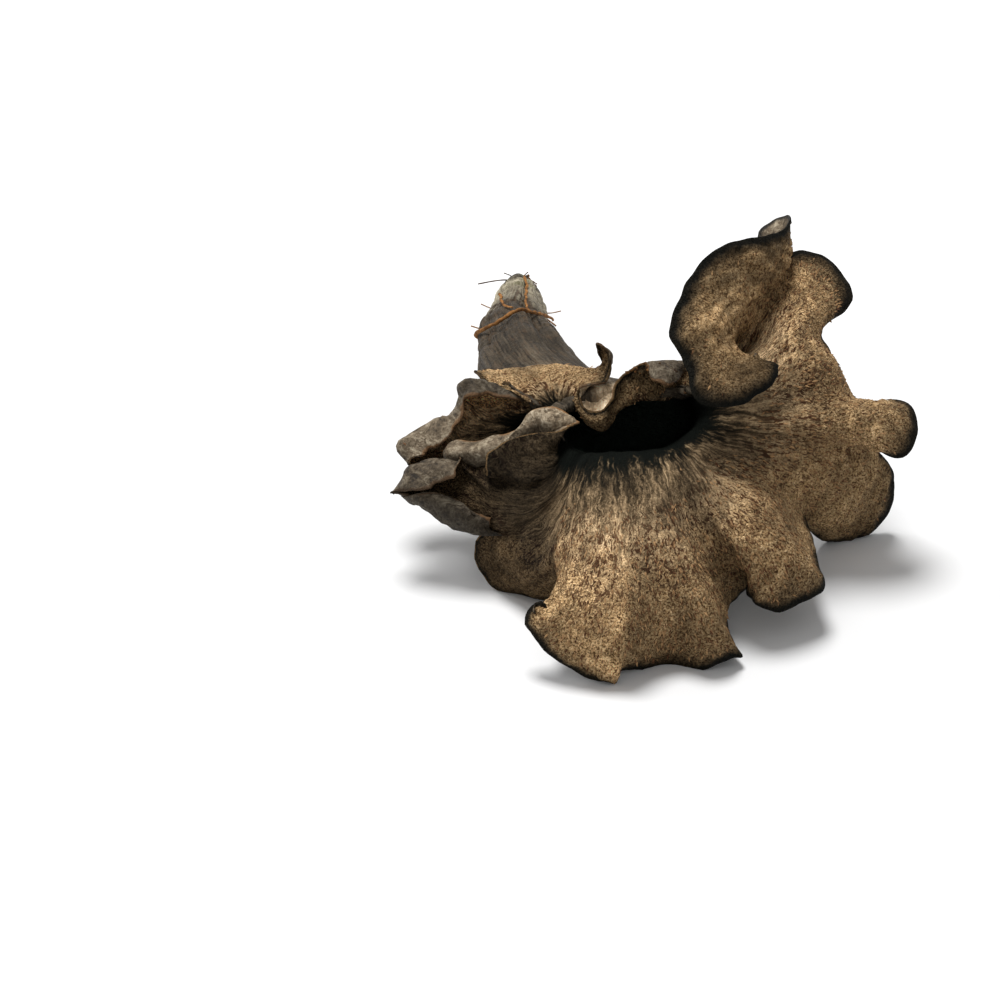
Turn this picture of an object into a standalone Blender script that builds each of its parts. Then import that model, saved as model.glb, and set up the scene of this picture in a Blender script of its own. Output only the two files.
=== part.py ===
# A black trumpet mushroom lying on its side. Cap and hollow stem are one thin sheet: a long funnel whose
# mouth spreads into frilled lobes with rolled margins. Thin root strands wind round the base of the stem.
# The funnel is drawn as lines from the mouth of the stem to the margin, seen by a viewer in front and above.

import math

import bpy
import numpy as np

# Sizes in metres and degrees
UNIT = 0.0015
WALL = 0.001
VIEW_TILT = 32.0

# In drawing units: the viewer's distance, the middle of the view, and the height of zero over the floor
VIEWER_DISTANCE = 420.0
VIEW_RIGHT = -10.0
VIEW_UP = -7.0
ZERO_HEIGHT = 15.05
SHIFT_X = -0.0079
SHIFT_Y = -0.02305

# Rings of the hollow stem, tip to mouth: centre (right, up, toward the viewer), half width, half depth
STEM_RINGS = (
    ((-8.1, 14.4, -52.5), 0.8, 0.8),
    ((-8.1, 13.6, -50.5), 1.4, 1.3),
    ((-8.15, 12.5, -47.5), 1.95, 1.7),
    ((-8.3, 11, -43.1), 2.3, 1.9),
    ((-8.5, 9.4, -38.8), 3.15, 2.5),
    ((-7.7, 7.8, -33.3), 3.9, 2.9),
    ((-6.9, 6, -27.5), 4.6, 3.2),
    ((-3.5, 2.7, -18), 5.3, 2.9),
    ((2.1, 0.9, -8), 7.2, 3.4),
)
RING_START = -104.0

# Lengthwise folds of the stem: how many round it, how deep, and turned by how many degrees
STEM_FOLDS = ((3, 0.22, 40.0), (7, 0.2, 10.0), (11, 0.12, 75.0))

# Share of the way from mouth to margin at which each row of control points stands
ROW_SHARES = (0.13, 0.26, 0.38, 0.49, 0.59, 0.68, 0.76, 0.83, 0.89, 0.945, 1.0)
SMOOTH_ROUNDS = (10, 8, 6, 3, 1, 0, 0, 0, 0, 0, 0)

# The lines of the cap in order round the mouth, each from just outside the mouth to the margin
CAP_LINES = {
    "front_notch": ((-2, -3.1, 2), (-4, -9, 8), (-4.5, -13, 8.5), (-3.9, -16, 8.7), (-4.4, -18.8, 9.6)),
    "front_hook": (
        (-1.6, -3.1, 2.3), (-3.5, -10, 9), (-3.9, -14.5, 10.5), (-4.6, -17.6, 11), (-5.2, -19.1, 11.2),
    ),
    "front_hook_2": (
        (-1.4, -3.1, 2.4), (-3.2, -10.4, 9.4), (-3.8, -15.2, 11.2), (-5.6, -19, 11.8),
        (-6.9, -18.6, 11.5), (-6.9, -17.4, 11.3), (-6.2, -16.8, 11.4), (-5.6, -17.2, 11.8),
    ),
    "front_left": (
        (-1.2, -3.1, 2.6), (-2.8, -11, 10), (-3.8, -16, 12), (-5.8, -19, 12), (-7.4, -18.4, 11.2),
    ),
    "front_left_2": (
        (-0.8, -3.1, 2.8), (-2, -11, 10.3), (-3.2, -16.5, 12.8), (-5, -19, 12.8), (-6.8, -20.2, 11.8),
    ),
    "front_left_low": (
        (-0.2, -3.1, 3), (-1, -11, 10.6), (-2, -17, 13.4), (-3.6, -20.5, 13.4), (-4.9, -22.7, 12),
    ),
    "front_low": (
        (0.8, -3.1, 3.2), (0.5, -11, 10.8), (-0.2, -18, 14), (-1, -22, 13.8), (-1.6, -24.7, 11.6),
    ),
    "front_point": (
        (1.5, -3.1, 3.35), (1.8, -11, 10.8), (1.5, -18, 14), (0.9, -22.6, 13.8), (0.6, -25.3, 11.3),
    ),
    "front_point_tip": (
        (1.8, -3.1, 3.4), (2.2, -11, 10.8), (2.1, -18, 14), (1.7, -22.6, 13.7), (1.4, -25.7, 10.9),
    ),
    "front_point_side": (
        (2.1, -3.1, 3.4), (2.7, -11, 10.7), (2.7, -17.8, 14.4), (2.3, -22, 14), (1.8, -24.6, 11.2),
    ),
    "front_recess": (
        (2.8, -3.1, 3.4), (3.6, -11, 10.6), (3.6, -17, 14.2), (3.6, -21, 13.6), (3.6, -24.1, 10.4),
    ),
    "front_recess_2": (
        (4, -3.1, 3.4), (5.6, -11, 10.1), (6.4, -17, 11.6), (6.8, -21, 10.2), (6.9, -24.2, 8.4),
    ),
    "front_right": ((5, -3.1, 3.3), (7.1, -11, 10.1), (8.8, -17, 12.4), (9.8, -21, 11.9), (10.4, -24, 9.8)),
    "front_right_point": (
        (5.6, -3, 3.2), (7.8, -10.6, 9.9), (10.1, -16.7, 12.5), (11.6, -20.5, 12.2), (12.9, -23, 10),
    ),
    "front_right_tip": (
        (5.8, -3, 3.2), (8.1, -10.4, 9.8), (10.6, -16.3, 12.2), (12.5, -20.1, 11.8), (14.2, -22.6, 9.5),
    ),
    "front_right_side": (
        (6.1, -3, 3.1), (8.4, -10.2, 9.3), (10.8, -15.6, 11), (12.3, -18.8, 9.8), (13.3, -20.9, 7.6),
    ),
    "valley_1": ((6.6, -2.95, 3.2), (8.8, -9.8, 8.5), (11, -14, 8.5), (12.2, -16.5, 6), (12.6, -18, 2.5)),
    "valley_2": (
        (7.4, -2.85, 3.1), (9.8, -9.2, 7.8), (12, -12.8, 6.8), (13.2, -15.2, 4.2), (13.9, -16.9, 1.5),
    ),
    "right_bottom_curl": (
        (7.8, -2.8, 3.05), (10.9, -8.8, 7.9), (13.2, -12.4, 7.6), (14.4, -14.2, 5.6), (15, -15.4, 3.4),
    ),
    "right_bottom_curl_2": (
        (8.2, -2.65, 3), (11.8, -8.8, 8.4), (14.2, -12.8, 9.2), (15, -15, 8.4), (14.5, -16.2, 6.4),
    ),
    "right_bottom_curl_3": (
        (8.4, -2.65, 2.95), (12.3, -8.6, 8.3), (14.9, -12.8, 9.5), (15.8, -15.6, 9), (15.4, -17.5, 6.8),
    ),
    "right_bottom": (
        (8.6, -2.65, 2.9), (12.8, -8.3, 8.2), (15.6, -12.5, 9.6), (17, -15.8, 9), (17.8, -18.2, 6.8),
    ),
    "right_bottom_2": (
        (8.4, -2.5, 2.7), (14, -7.8, 7.8), (17.5, -12, 9), (19.2, -15, 8.5), (20.4, -17.2, 6.6),
    ),
    "right_bottom_right": (
        (9, -2.2, 2.5), (15, -7.2, 7), (19, -11.4, 7.8), (21, -13.8, 7.2), (22.2, -15.8, 5.6),
    ),
    "right_bottom_side": (
        (8.7, -2.4, 2.5), (15.6, -6.4, 5.8), (19.5, -10.4, 5), (21, -12.3, 4), (22, -13.9, 2.5),
    ),
    "valley_3": (
        (9.3, -2.1, 2.2), (16, -5.2, 3.8), (18.8, -7.3, 1), (19.9, -8.5, -1.8), (20.5, -8.8, -4.5),
    ),
    "right_left": ((9.9, -1.7, 1.9), (16.6, -4.4, 2.5), (19.8, -7, -1.5), (21, -9, -5), (21.2, -10.2, -8)),
    "right_bottom_edge": (
        (10.5, -1.5, 2), (17.5, -4, 1.7), (21.5, -6.8, -2.5), (23, -9.6, -7), (23.4, -11.2, -10.8),
    ),
    "right_bottom_edge_2": (
        (11.1, -1.2, 1.7), (19, -3.7, 1), (24, -6.5, -3.3), (25.6, -9, -7.6), (26.4, -10.8, -11.2),
    ),
    "right_low": (
        (11.5, -0.9, 1.5), (20, -3.2, 0.5), (24.6, -5.5, -3.5), (27.2, -7.3, -7.8), (28.7, -8.5, -11),
    ),
    "right_side": (
        (11.8, -0.6, 1.4), (20.5, -2.5, 0.5), (25, -4, -3), (27.8, -5, -6.5), (29.5, -5.6, -9.5),
    ),
    "right_top": (
        (12, -0.2, 1.2), (20.5, -1.7, 0.7), (24.6, -2.5, -2), (27, -2.9, -4.8), (28.8, -3.3, -7.5),
    ),
    "right_notch": ((12.2, 0.2, 1), (20.5, -1, 1), (24, -1.5, -0.8), (26, -1.7, -3), (27.5, -1.9, -5)),
    "upper_right_low": (
        (12.3, 0.5, 0.9), (20.5, -0.3, 1.5), (25, -0.7, 1.2), (28, -1.6, 0.5), (29.6, -2.9, -0.8),
    ),
    "upper_right_side": (
        (12.4, 0.9, 0.8), (20.6, 0.4, 1.8), (25.5, 0.2, 1.8), (29, -0.3, 0.8), (31.5, -1, -1.5),
    ),
    "upper_right_side_2": (
        (12.4, 1.3, 0.7), (20.5, 1.1, 1.8), (25.4, 1.2, 1.8), (29, 1.2, 0.6), (31.5, 1.5, -2.5),
    ),
    "upper_right_top": (
        (12.3, 1.7, 0.5), (20, 1.9, 1.6), (24.8, 2.2, 1.2), (28, 2.4, -0.8), (29.6, 2.8, -4),
    ),
    "back_1": ((12.1, 2.1, 0.3), (19.3, 2.7, 1.2), (23.4, 2.9, 0.2), (25.6, 2.9, -3.5), (26, 2.8, -8)),
    "wall_1": ((11.7, 2.6, 0), (18.3, 3.7, 1), (22.5, 4.2, 0), (24.7, 4.2, -4), (24.3, 4.2, -9)),
    "wall_2": ((11.3, 3.1, -0.3), (17.4, 4.8, 1), (21.2, 6.8, 0.4), (23.4, 7.4, -3.5), (23, 7, -8.5)),
    "small_round_low": (
        (10.9, 3.5, -0.7), (16.8, 5.8, 0.8), (19.8, 8.4, 0.4), (21.3, 9.5, -2.5), (22, 9.9, -6),
    ),
    "small_round_right": (
        (10.5, 3.9, -1.1), (16.3, 6.4, 0.5), (19.2, 9.8, 0), (21.8, 11.3, -3), (24.4, 11.9, -6.3),
    ),
    "small_round_right_2": (
        (11.1, 4.1, -1.2), (16, 6.9, 0.1), (19, 10.8, -0.8), (22, 13.2, -3.8), (24.9, 14.4, -7),
    ),
    "small_round_top": (
        (10.9, 4.3, -1.6), (15.7, 7.3, -0.4), (18.6, 11.5, -1.8), (21, 14.8, -4.8), (22.8, 17.4, -8),
    ),
    "small_round_top_left": (
        (10.7, 4.5, -2), (15.4, 7.7, -1), (18, 11.8, -3), (19.3, 15.2, -6), (20, 18, -9),
    ),
    "back_2": ((10.5, 4.5, -2.5), (15.1, 7.9, -1.8), (17.4, 12, -3.6), (18.6, 15, -6.2), (18.4, 17.5, -10)),
    "back_3": ((10.4, 4.5, -3), (14.9, 8.2, -2.6), (17.2, 12.2, -4), (17.7, 15.8, -7), (15.9, 19.3, -11)),
    "ear_fold_back": (
        (10.3, 4.5, -3.5), (14.8, 8.3, -3.1), (16.9, 12.5, -4), (18.4, 16.8, -6.8), (17.5, 20.9, -9.8),
    ),
    "ear_fold_top": (
        (10.2, 4.5, -3.8), (14.6, 8.5, -3.5), (16.8, 12.5, -3.9), (19, 17, -5.6), (19.1, 21.2, -7),
    ),
    "ear_top": (
        (10.1, 4.5, -4), (14.4, 8.6, -3.8), (16.2, 12.5, -3.3), (18.3, 16.8, -3.2), (18.3, 19.8, -3),
    ),
    "ear_1": (
        (10, 4.5, -4.2), (14.2, 8.7, -3.9), (15.1, 12.5, -1.6), (15.6, 16.2, -0.4), (15.7, 19.1, -0.6),
    ),
    "ear_2": ((9.9, 4.4, -4.3), (13.9, 8.7, -3.8), (13.9, 11.6, 0.6), (13, 15.6, 1.9), (12.2, 18.4, 1.6)),
    "ear_3": ((10.6, 4.4, -4.4), (13.8, 8.5, -3.6), (13, 10.8, 1.8), (11, 14.2, 3.5), (9.8, 16.4, 3.2)),
    "ear_4": ((10.5, 4.3, -4.5), (13.6, 8.3, -3.3), (12.6, 9.9, 2.8), (10, 12, 4.7), (8, 13.1, 4.5)),
    "ear_5": ((10.4, 4.3, -4.5), (13.5, 8, -2.9), (12.4, 9, 3.6), (9.8, 9.6, 5.3), (7.1, 9.4, 5)),
    "ear_6": ((10.3, 4.2, -4.6), (13.6, 7.6, -2.5), (12.5, 8, 4), (10.3, 7.4, 5.8), (8.7, 6.7, 5.8)),
    "ear_7": ((10.2, 4.1, -4.6), (13.9, 7.3, -2.1), (12.9, 7, 4.6), (10.9, 5.2, 6.6), (9.1, 3.5, 6.4)),
    "ear_8": ((10.1, 4, -4.7), (14.3, 7.1, -1.8), (13.6, 6.4, 4.8), (12.6, 4.1, 7), (12.2, 2.3, 6.8)),
    "ear_9": ((10, 3.9, -4.8), (14.7, 7.1, -1.4), (14.8, 6.4, 4.6), (15.2, 4.7, 6.8), (15.6, 3.3, 6.3)),
    "ear_9_right": (
        (9.9, 3.9, -4.9), (14.9, 7.2, -1.3), (15.3, 6.7, 4.2), (16.3, 5.4, 6.2), (17.1, 4.6, 5.7),
    ),
    "ear_1_0": ((9.8, 3.9, -5), (15.1, 7.4, -1.2), (15.7, 7, 3.6), (16.8, 6.5, 5.2), (17.6, 5.9, 4.8)),
    "ear_1_0_back": ((9.7, 3.9, -5.1), (15, 7.4, -1.8), (15.5, 7.2, 2.2), (16.4, 7, 3.8), (17.1, 6.7, 3.4)),
    "ear_1_1": ((9.6, 3.9, -5.2), (14.9, 7.1, -2.4), (15.4, 6.5, -0.6), (16, 6, 0.8), (16.6, 5.4, 0.6)),
    "back_wall_1": ((9.2, 4, -6.1), (12, 6, -6.5), (13, 6.3, -8), (13, 6.3, -9.5), (12.8, 6, -11)),
    "back_wall_2": ((8.1, 3.6, -6.7), (9.1, 5, -7.4), (9.4, 6.2, -8.8), (9.2, 6.8, -10), (8.8, 6.8, -11.5)),
    "curl_1": (
        (7, 2.7, -6.6), (6.9, 4.4, -6.2), (6.9, 6, -6.8), (6.9, 6.6, -6.4), (7.1, 5.6, -4.8),
        (7.2, 4.4, -4.2),
    ),
    "curl_2": (
        (5.4, 1.9, -6), (5.1, 4.2, -5.4), (5, 6, -6), (5, 6.5, -5.8), (5.1, 6, -4.6), (5.1, 5.3, -4),
    ),
    "curl_3": ((4.2, 1.7, -6), (4, 4, -5.4), (4, 5.4, -5.2), (4, 6.1, -4.8)),
    "curl_4": (
        (2.8, 2.6, -6.6), (2.9, 4.2, -6.6), (2.5, 2.2, -5.1), (2.2, 2.1, -4.5), (2.1, 3.3, -4.6),
        (2, 4.6, -4.1),
    ),
    "scoop_1": (
        (1.4, 3.2, -7), (1.7, 5.6, -6.8), (1.4, 3, -5.3), (1.3, 0.6, -4.3), (1.2, 0.7, -3.6),
        (1.2, 1.9, -3.6), (1.2, 3.1, -3.3),
    ),
    "scoop_2": (
        (0.4, 3.2, -7.2), (0.5, 5.4, -7), (0.4, 2.6, -5.4), (0.3, 0.2, -4.5), (0.3, -0.2, -3.9),
        (0.3, 0.6, -3.1), (0.3, 1.8, -2.9),
    ),
    "scoop_3": (
        (-0.8, 3, -7.2), (-0.8, 4.6, -6.8), (-1, 2.4, -5.6), (-1.1, 0.6, -4.8), (-1.2, 0.2, -4.2),
        (-1.4, 0.9, -3.5), (-1.4, 2, -3.4),
    ),
    "scoop_4": ((-1.8, 2.6, -6.6), (-2, 2, -5.5), (-2.3, 2.1, -4.7), (-2.5, 2.9, -4.3), (-2.4, 3.9, -4.2)),
    "back_left_right": ((-2.4, 2.4, -6.2), (-2.4, 3.2, -5.1), (-2, 4.2, -4.6), (-1.3, 4.9, -4.2)),
    "back_left_right_2": (
        (-2.9, 2.2, -6.2), (-2.8, 3.6, -5.2), (-1.6, 4.8, -5), (-0.2, 5.7, -5.2), (0.9, 6.3, -4.8),
    ),
    "back_left_tip": (
        (-3.2, 2.3, -6.4), (-3, 4.2, -6), (-1.2, 5.5, -6.6), (0.6, 6.3, -6.8), (1.2, 7.2, -6.2),
        (0.5, 8.1, -5.7), (-0.5, 8.2, -5.5),
    ),
    "back_left_edge": (
        (-3.4, 2.35, -6.5), (-3.2, 4.4, -6.6), (-1.6, 5.8, -8), (-0.4, 6.2, -8.8), (0.3, 6.2, -9.8),
    ),
    "back_left_back_1": (
        (-3.6, 2.4, -6.6), (-3.4, 4.6, -7), (-2.2, 6, -9), (-1.8, 6.2, -12), (-1.8, 5.4, -15),
    ),
    "back_left_back_2": (
        (-4.2, 2.4, -6.8), (-4.6, 4.6, -7.4), (-5.2, 6, -10), (-5.4, 6.1, -13), (-5.5, 5.2, -16),
    ),
    "back_left_back_3": (
        (-4.8, 2.3, -6.8), (-6, 4.2, -7.2), (-8, 5.7, -9.6), (-9, 6, -12.5), (-9.6, 5.3, -15),
    ),
    "back_left_side": (
        (-5.2, 2.2, -6.6), (-7, 3.8, -6.6), (-9.5, 4.9, -7.6), (-11.3, 5.8, -9.2), (-12.4, 6.6, -10.6),
    ),
    "back_left_low": ((-5.5, 2.1, -6.2), (-6.6, 3, -5.6), (-8, 3.6, -5.6), (-9, 4, -6), (-10.2, 4.6, -6.6)),
    "left_sinus": ((-5.6, 1.9, -6.2), (-6.1, 2.4, -5.8), (-6.5, 2.7, -5.7), (-6.8, 2.9, -5.8), (-7, 3, -6)),
    "left_up_1": (
        (-5.8, 1.7, -6.5), (-7.2, 2, -7), (-8.6, 3, -8.5), (-9.2, 3.9, -8), (-9.2, 3.9, -6.8),
        (-9.1, 3.3, -5.8),
    ),
    "left_up_2": (
        (-6, 1.4, -6.6), (-8.6, 1.8, -7.2), (-11, 2.9, -9.2), (-11.7, 4.2, -8.8), (-11.7, 4.5, -7),
        (-11.2, 3.7, -5.8),
    ),
    "left_tube_end": (
        (-6.1, 1.2, -6.8), (-9, 1.4, -7.4), (-12, 2.3, -9), (-13.7, 3.1, -9), (-14.2, 3.9, -7.8),
        (-13.6, 4.7, -6.8), (-12.8, 4, -6), (-12.7, 3.2, -5.8),
    ),
    "finger_top": (
        (-6.2, 1, -7), (-9, 0.8, -7.8), (-11.6, 1.4, -8.8), (-13.6, 2.7, -8.6), (-13.8, 2.6, -7.4),
        (-13.3, 2.2, -6.6),
    ),
    "finger_top_2": (
        (-6.2, 0.9, -7.2), (-9.2, 0.4, -8), (-12.4, 0.2, -9), (-14.8, 1.3, -8.6), (-15, 1.2, -7.2),
        (-14.3, 0.4, -6.2),
    ),
    "finger_mid": (
        (-6.3, 0.7, -7.4), (-9.5, -0.2, -8.4), (-13.5, -0.6, -9.2), (-15.8, 0.7, -8.8), (-16, 0.7, -6.8),
        (-15.1, -1, -5.4),
    ),
    "finger_mid_2": (
        (-6.3, 0.5, -7.6), (-9.8, -0.6, -8.6), (-14.5, -1.6, -9.2), (-17.6, -0.4, -8.6),
        (-18, -0.4, -6.6), (-16.4, -2, -5.2),
    ),
    "finger_end": (
        (-6.4, 0.3, -7.8), (-10, -1, -8.6), (-15, -2.6, -9), (-19.4, -2, -8.2), (-20, -1.9, -6.2),
        (-17.6, -2.8, -5),
    ),
    "finger_below": (
        (-6.4, 0.1, -7.8), (-10, -1.6, -8.8), (-14, -3.5, -8.6), (-17.4, -4.1, -7.4), (-19.2, -3.5, -6),
    ),
    "finger_gap": ((-6.4, 0.1, -7.8), (-9.6, -1.4, -8.8), (-12.4, -2.6, -8.8), (-14, -3.2, -8.2)),
    "roll_left": (
        (-6.4, 0, -7.6), (-10, -1.6, -7.6), (-13.2, -3.1, -6), (-15.2, -3, -4.2), (-15.7, -2.2, -3.7),
        (-15, -1.8, -4.8),
    ),
    "roll_mid": (
        (-6.4, -0.3, -7), (-9, -1.8, -6.6), (-11.4, -3.6, -4.4), (-12.4, -2.7, -3), (-12.4, -1.8, -3),
        (-11.8, -1.6, -4.2),
    ),
    "roll_mid_2": (
        (-6.2, -0.5, -6.4), (-8, -1.8, -5.4), (-9.3, -2.6, -3.2), (-9.9, -1.8, -2.6), (-9.9, -1.1, -2.8),
        (-9.6, -0.9, -3.6),
    ),
    "roll_right": (
        (-5.6, -0.4, -5.8), (-6.4, -0.4, -4.4), (-6.7, 0.2, -3.4), (-6.6, 1, -3.2), (-6.5, 1.6, -3.4),
        (-6.4, 2.1, -3.8),
    ),
    "roll_end": (
        (-4.6, -0.2, -5.2), (-4.4, 0, -4), (-3.8, 0.4, -3.2), (-3.2, 0.7, -2.8), (-2.8, 1, -2.8),
        (-2.4, 1.3, -3),
    ),
    "main_sinus": (
        (-4.2, -0.6, -4.6), (-3.8, -0.4, -3.6), (-3.4, -0.2, -2.8), (-3, -0.1, -2.3), (-2.6, 0.1, -2),
    ),
    "main_top": ((-4, -1.5, -4), (-4, -1.8, -1.5), (-4.6, -1.4, 0), (-5.3, -0.8, 0.2), (-6, -0.2, -0.4)),
    "main_left": ((-4, -2.4, -3), (-4.6, -3, -0.2), (-6, -2.9, 0.8), (-8, -2.2, 0.9), (-9.7, -1.3, 0.2)),
    "main_left_2": (
        (-3.8, -2.6, -2.3), (-4.8, -4, 1), (-6.6, -4.3, 2), (-9, -3.9, 1.6), (-11.2, -2.9, 0.4),
    ),
    "pouch_notch": (
        (-3.6, -2.1, -2.2), (-4.8, -4.8, 2.2), (-6.6, -5.3, 2.9), (-8.9, -5.2, 1.3), (-10.9, -4.5, 0.1),
    ),
    "pouch_back": (
        (-3.5, -2.2, -2), (-4.8, -5.2, 2.5), (-7, -6, 3), (-9.6, -6, 0.6), (-11.8, -4.6, -2.4),
        (-12.6, -2.4, -5),
    ),
    "pouch_top": (
        (-3.4, -2.2, -1.8), (-4.9, -5.6, 2.7), (-7.2, -6.6, 3.4), (-10.4, -6, 0.2), (-13, -4.2, -2.4),
        (-14.2, -3, -2.2), (-14.4, -3.8, -0.4),
    ),
    "low_finger_top": (
        (-3.2, -2.3, -1.6), (-5, -6, 3), (-7.4, -7, 3.4), (-11, -6.2, -0.6), (-14, -4.2, -3.2),
        (-15.4, -2.8, -2.6), (-15.4, -3.4, -0.6), (-14.4, -4.7, 0.2),
    ),
    "low_finger_mid": (
        (-3, -2.5, -1.2), (-5, -6.4, 3.2), (-7.8, -7.8, 3.2), (-12, -6.8, -1.4), (-15.8, -4.4, -3.8),
        (-17.2, -3.2, -3.2), (-17.4, -3.6, -1), (-16.4, -5.2, -0.2),
    ),
    "low_finger_mid_2": (
        (-2.9, -2.6, -1.1), (-5, -6.6, 3.3), (-7.9, -8.1, 3.1), (-12.2, -7.2, -1.5), (-16.8, -5.2, -3.8),
        (-19.2, -4.4, -3.6), (-19.5, -4.6, -1.6), (-18.2, -6, -0.6),
    ),
    "low_finger_tip": (
        (-2.8, -2.7, -1), (-5, -6.8, 3.4), (-8, -8.4, 3), (-12.5, -7.6, -1.6), (-17.5, -6.6, -3.2),
        (-20.6, -5.9, -3.2), (-21.1, -6.2, -2),
    ),
    "strip_left": (
        (-2.6, -2.8, -0.8), (-5, -7.2, 3.5), (-8, -9, 2.8), (-12.5, -8.6, -1.6), (-16.6, -7.6, -3),
        (-18.8, -7.2, -2.4), (-18.8, -6.7, -1), (-17.4, -6.4, -0.6),
    ),
    "strip_mid": (
        (-2.4, -2.9, -0.6), (-5, -7.6, 3.7), (-8, -9.6, 2.6), (-12, -9.6, -1.8), (-15, -9.2, -2.6),
        (-16.4, -8.6, -1.6), (-16, -7.6, -0.2), (-15.2, -6.7, 0.2), (-14.3, -7, -0.6),
    ),
    "strip_right": (
        (-2.2, -3, -0.4), (-5, -8, 3.9), (-7.8, -10, 2.6), (-10.6, -10.2, -1), (-13, -10.2, -2.4),
        (-14, -9.8, -1.2), (-13.5, -8.7, 0.2), (-12.9, -8, 0), (-12.4, -8.6, -0.6),
    ),
    "strip_end": (
        (-2, -3.1, -0.2), (-5, -8.4, 4.1), (-7.4, -10.2, 3), (-9.6, -10.4, 0.4), (-11, -10.2, -0.8),
        (-11.2, -9.4, -0.4), (-10.9, -9, 0),
    ),
    "bottom_left_1": (
        (-1.8, -3.1, 0), (-4.8, -8.8, 4.4), (-7, -10.8, 3.6), (-9.2, -11.2, 0.8), (-11, -11, -0.8),
        (-12.1, -10.6, -1.5),
    ),
    "bottom_left_2": (
        (-1.8, -3.1, 0.3), (-4.6, -9.2, 4.8), (-6.8, -11.8, 4), (-9, -12.8, 1), (-11, -13, -1),
        (-12.4, -13.1, -2.2),
    ),
    "bottom_left_3": (
        (-1.9, -3.1, 0.6), (-4.4, -9.6, 5.4), (-6.4, -12.6, 4.6), (-8.4, -14, 1.4), (-10, -15, -1),
        (-11.3, -15.4, -2.6),
    ),
    "bottom_left_4": (
        (-2, -3.1, 1), (-4.3, -9.6, 6), (-5.8, -12.8, 5.4), (-7, -14.6, 2.6), (-8, -16, 0.2),
        (-8.7, -16.8, -2.2),
    ),
    "bottom_left_5": (
        (-2, -3.1, 1.4), (-4.2, -9.4, 6.8), (-5.2, -12.8, 6.4), (-5.4, -14.6, 3.8), (-5.2, -16.2, 1),
        (-5.2, -17.4, -1.2),
    ),
    "front_fold_1": (
        (-2, -3.1, 1.7), (-4.1, -9.2, 7.4), (-4.5, -12.8, 7.4), (-3.8, -15, 5), (-3.4, -16.6, 2),
        (-3, -17.4, 0),
    ),
    "front_fold_2": (
        (-2, -3.1, 1.9), (-4.1, -9.1, 7.8), (-4.4, -13, 8.2), (-3.6, -15.6, 7), (-3.4, -17.4, 5),
        (-3.2, -18.4, 3.6),
    ),
}

# The sheet: points round the funnel, and rows along it counted in control rows from the tip
AROUND = 220
ALONG = np.linspace(0, 19, 58)

# Folds that touch are joined into one skin of small cells, of which this share of facets is kept
SKIN_CELL = 0.0005
FACET_SHARE = 0.0425

# Root strands: radius in metres, then stations on the stem: ring, angle in degrees, lift in metres
STRANDS = {
    "root_strand_long": (0.00045, ((4.45, 176, 0.0014), (4.8, 154, 0.0014), (5.15, 122, 0.0013),
        (5.0, 95, 0.0013), (4.6, 62, 0.0013), (4.0, 30, 0.0013), (3.7, 8, 0.0014))),
    "root_strand_side": (0.0004, ((2.9, 120, 0.0013), (3.4, 113, 0.0012), (4.1, 104, 0.0012),
        (4.6, 98, 0.0013))),
    "root_strand_top": (0.0004, ((1.6, 88, 0.0013), (2.2, 84, 0.0012), (3, 82, 0.0012), (3.8, 78, 0.0012),
        (4.3, 74, 0.0013))),
}


def even_points(points):
    """Points at the row shares of the length of a smooth curve through the given points."""
    given = np.array(points, float)
    ends = np.vstack([2 * given[0] - given[1], given, 2 * given[-1] - given[-2]])
    parts = []
    for i in range(len(given) - 1):
        a, b, c, d = ends[i:i + 4]
        s = np.linspace(0, 1, 24, endpoint=False)[:, None]
        parts.append(0.5 * (2 * b + (c - a) * s + (2 * a - 5 * b + 4 * c - d) * s**2
                            + (3 * b - a - 3 * c + d) * s**3))
    fine = np.vstack(parts + [given[-1:]])
    steps = np.linalg.norm(np.diff(fine, axis=0), axis=1)
    length = np.concatenate([[0], np.cumsum(steps)])
    wanted = length[-1] * np.array(ROW_SHARES)
    return np.stack([np.interp(wanted, length, fine[:, k]) for k in range(3)], axis=1)


def stem_rows(angles):
    """Control points of the stem's rings, one row a ring."""
    centres = np.array([ring[0] for ring in STEM_RINGS])
    axes = np.gradient(centres, axis=0)
    axes /= np.linalg.norm(axes, axis=1, keepdims=True)
    rows = []
    for i, (centre, half_width, half_depth) in enumerate(STEM_RINGS):
        across = np.array([1.0, 0, 0]) - axes[i][0] * axes[i]
        across /= np.linalg.norm(across)
        over = np.cross(axes[i], across)
        share = min(half_width / 4, 1) * (1 if i < 7 else 0.3)
        fold = share * sum(high * np.cos(count * angles + math.radians(turn))
                           for count, high, turn in STEM_FOLDS)
        wide = ((half_width + fold) * np.cos(angles))[:, None]
        deep = ((half_depth + fold) * np.sin(angles))[:, None]
        rows.append(centre + wide * across + deep * over)
    return rows


def smoothed_around(row, rounds):
    """A row of control points evened out with its neighbours."""
    for _ in range(rounds):
        row = (np.roll(row, 1, axis=0) + 2 * row + np.roll(row, -1, axis=0)) / 4
    return row


def to_world(points):
    """Drawing points as the viewer sees them, in metres."""
    nearer = (VIEWER_DISTANCE - points[..., 2]) / VIEWER_DISTANCE
    right = VIEW_RIGHT + (points[..., 0] - VIEW_RIGHT) * nearer
    up = VIEW_UP + (points[..., 1] - VIEW_UP) * nearer
    toward = points[..., 2]
    sine, cosine = math.sin(math.radians(VIEW_TILT)), math.cos(math.radians(VIEW_TILT))
    height = ZERO_HEIGHT + cosine * up + sine * toward
    world = np.stack([right, sine * up - cosine * toward, height], axis=-1) * UNIT
    return world + np.array([SHIFT_X, SHIFT_Y, 0])


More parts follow.
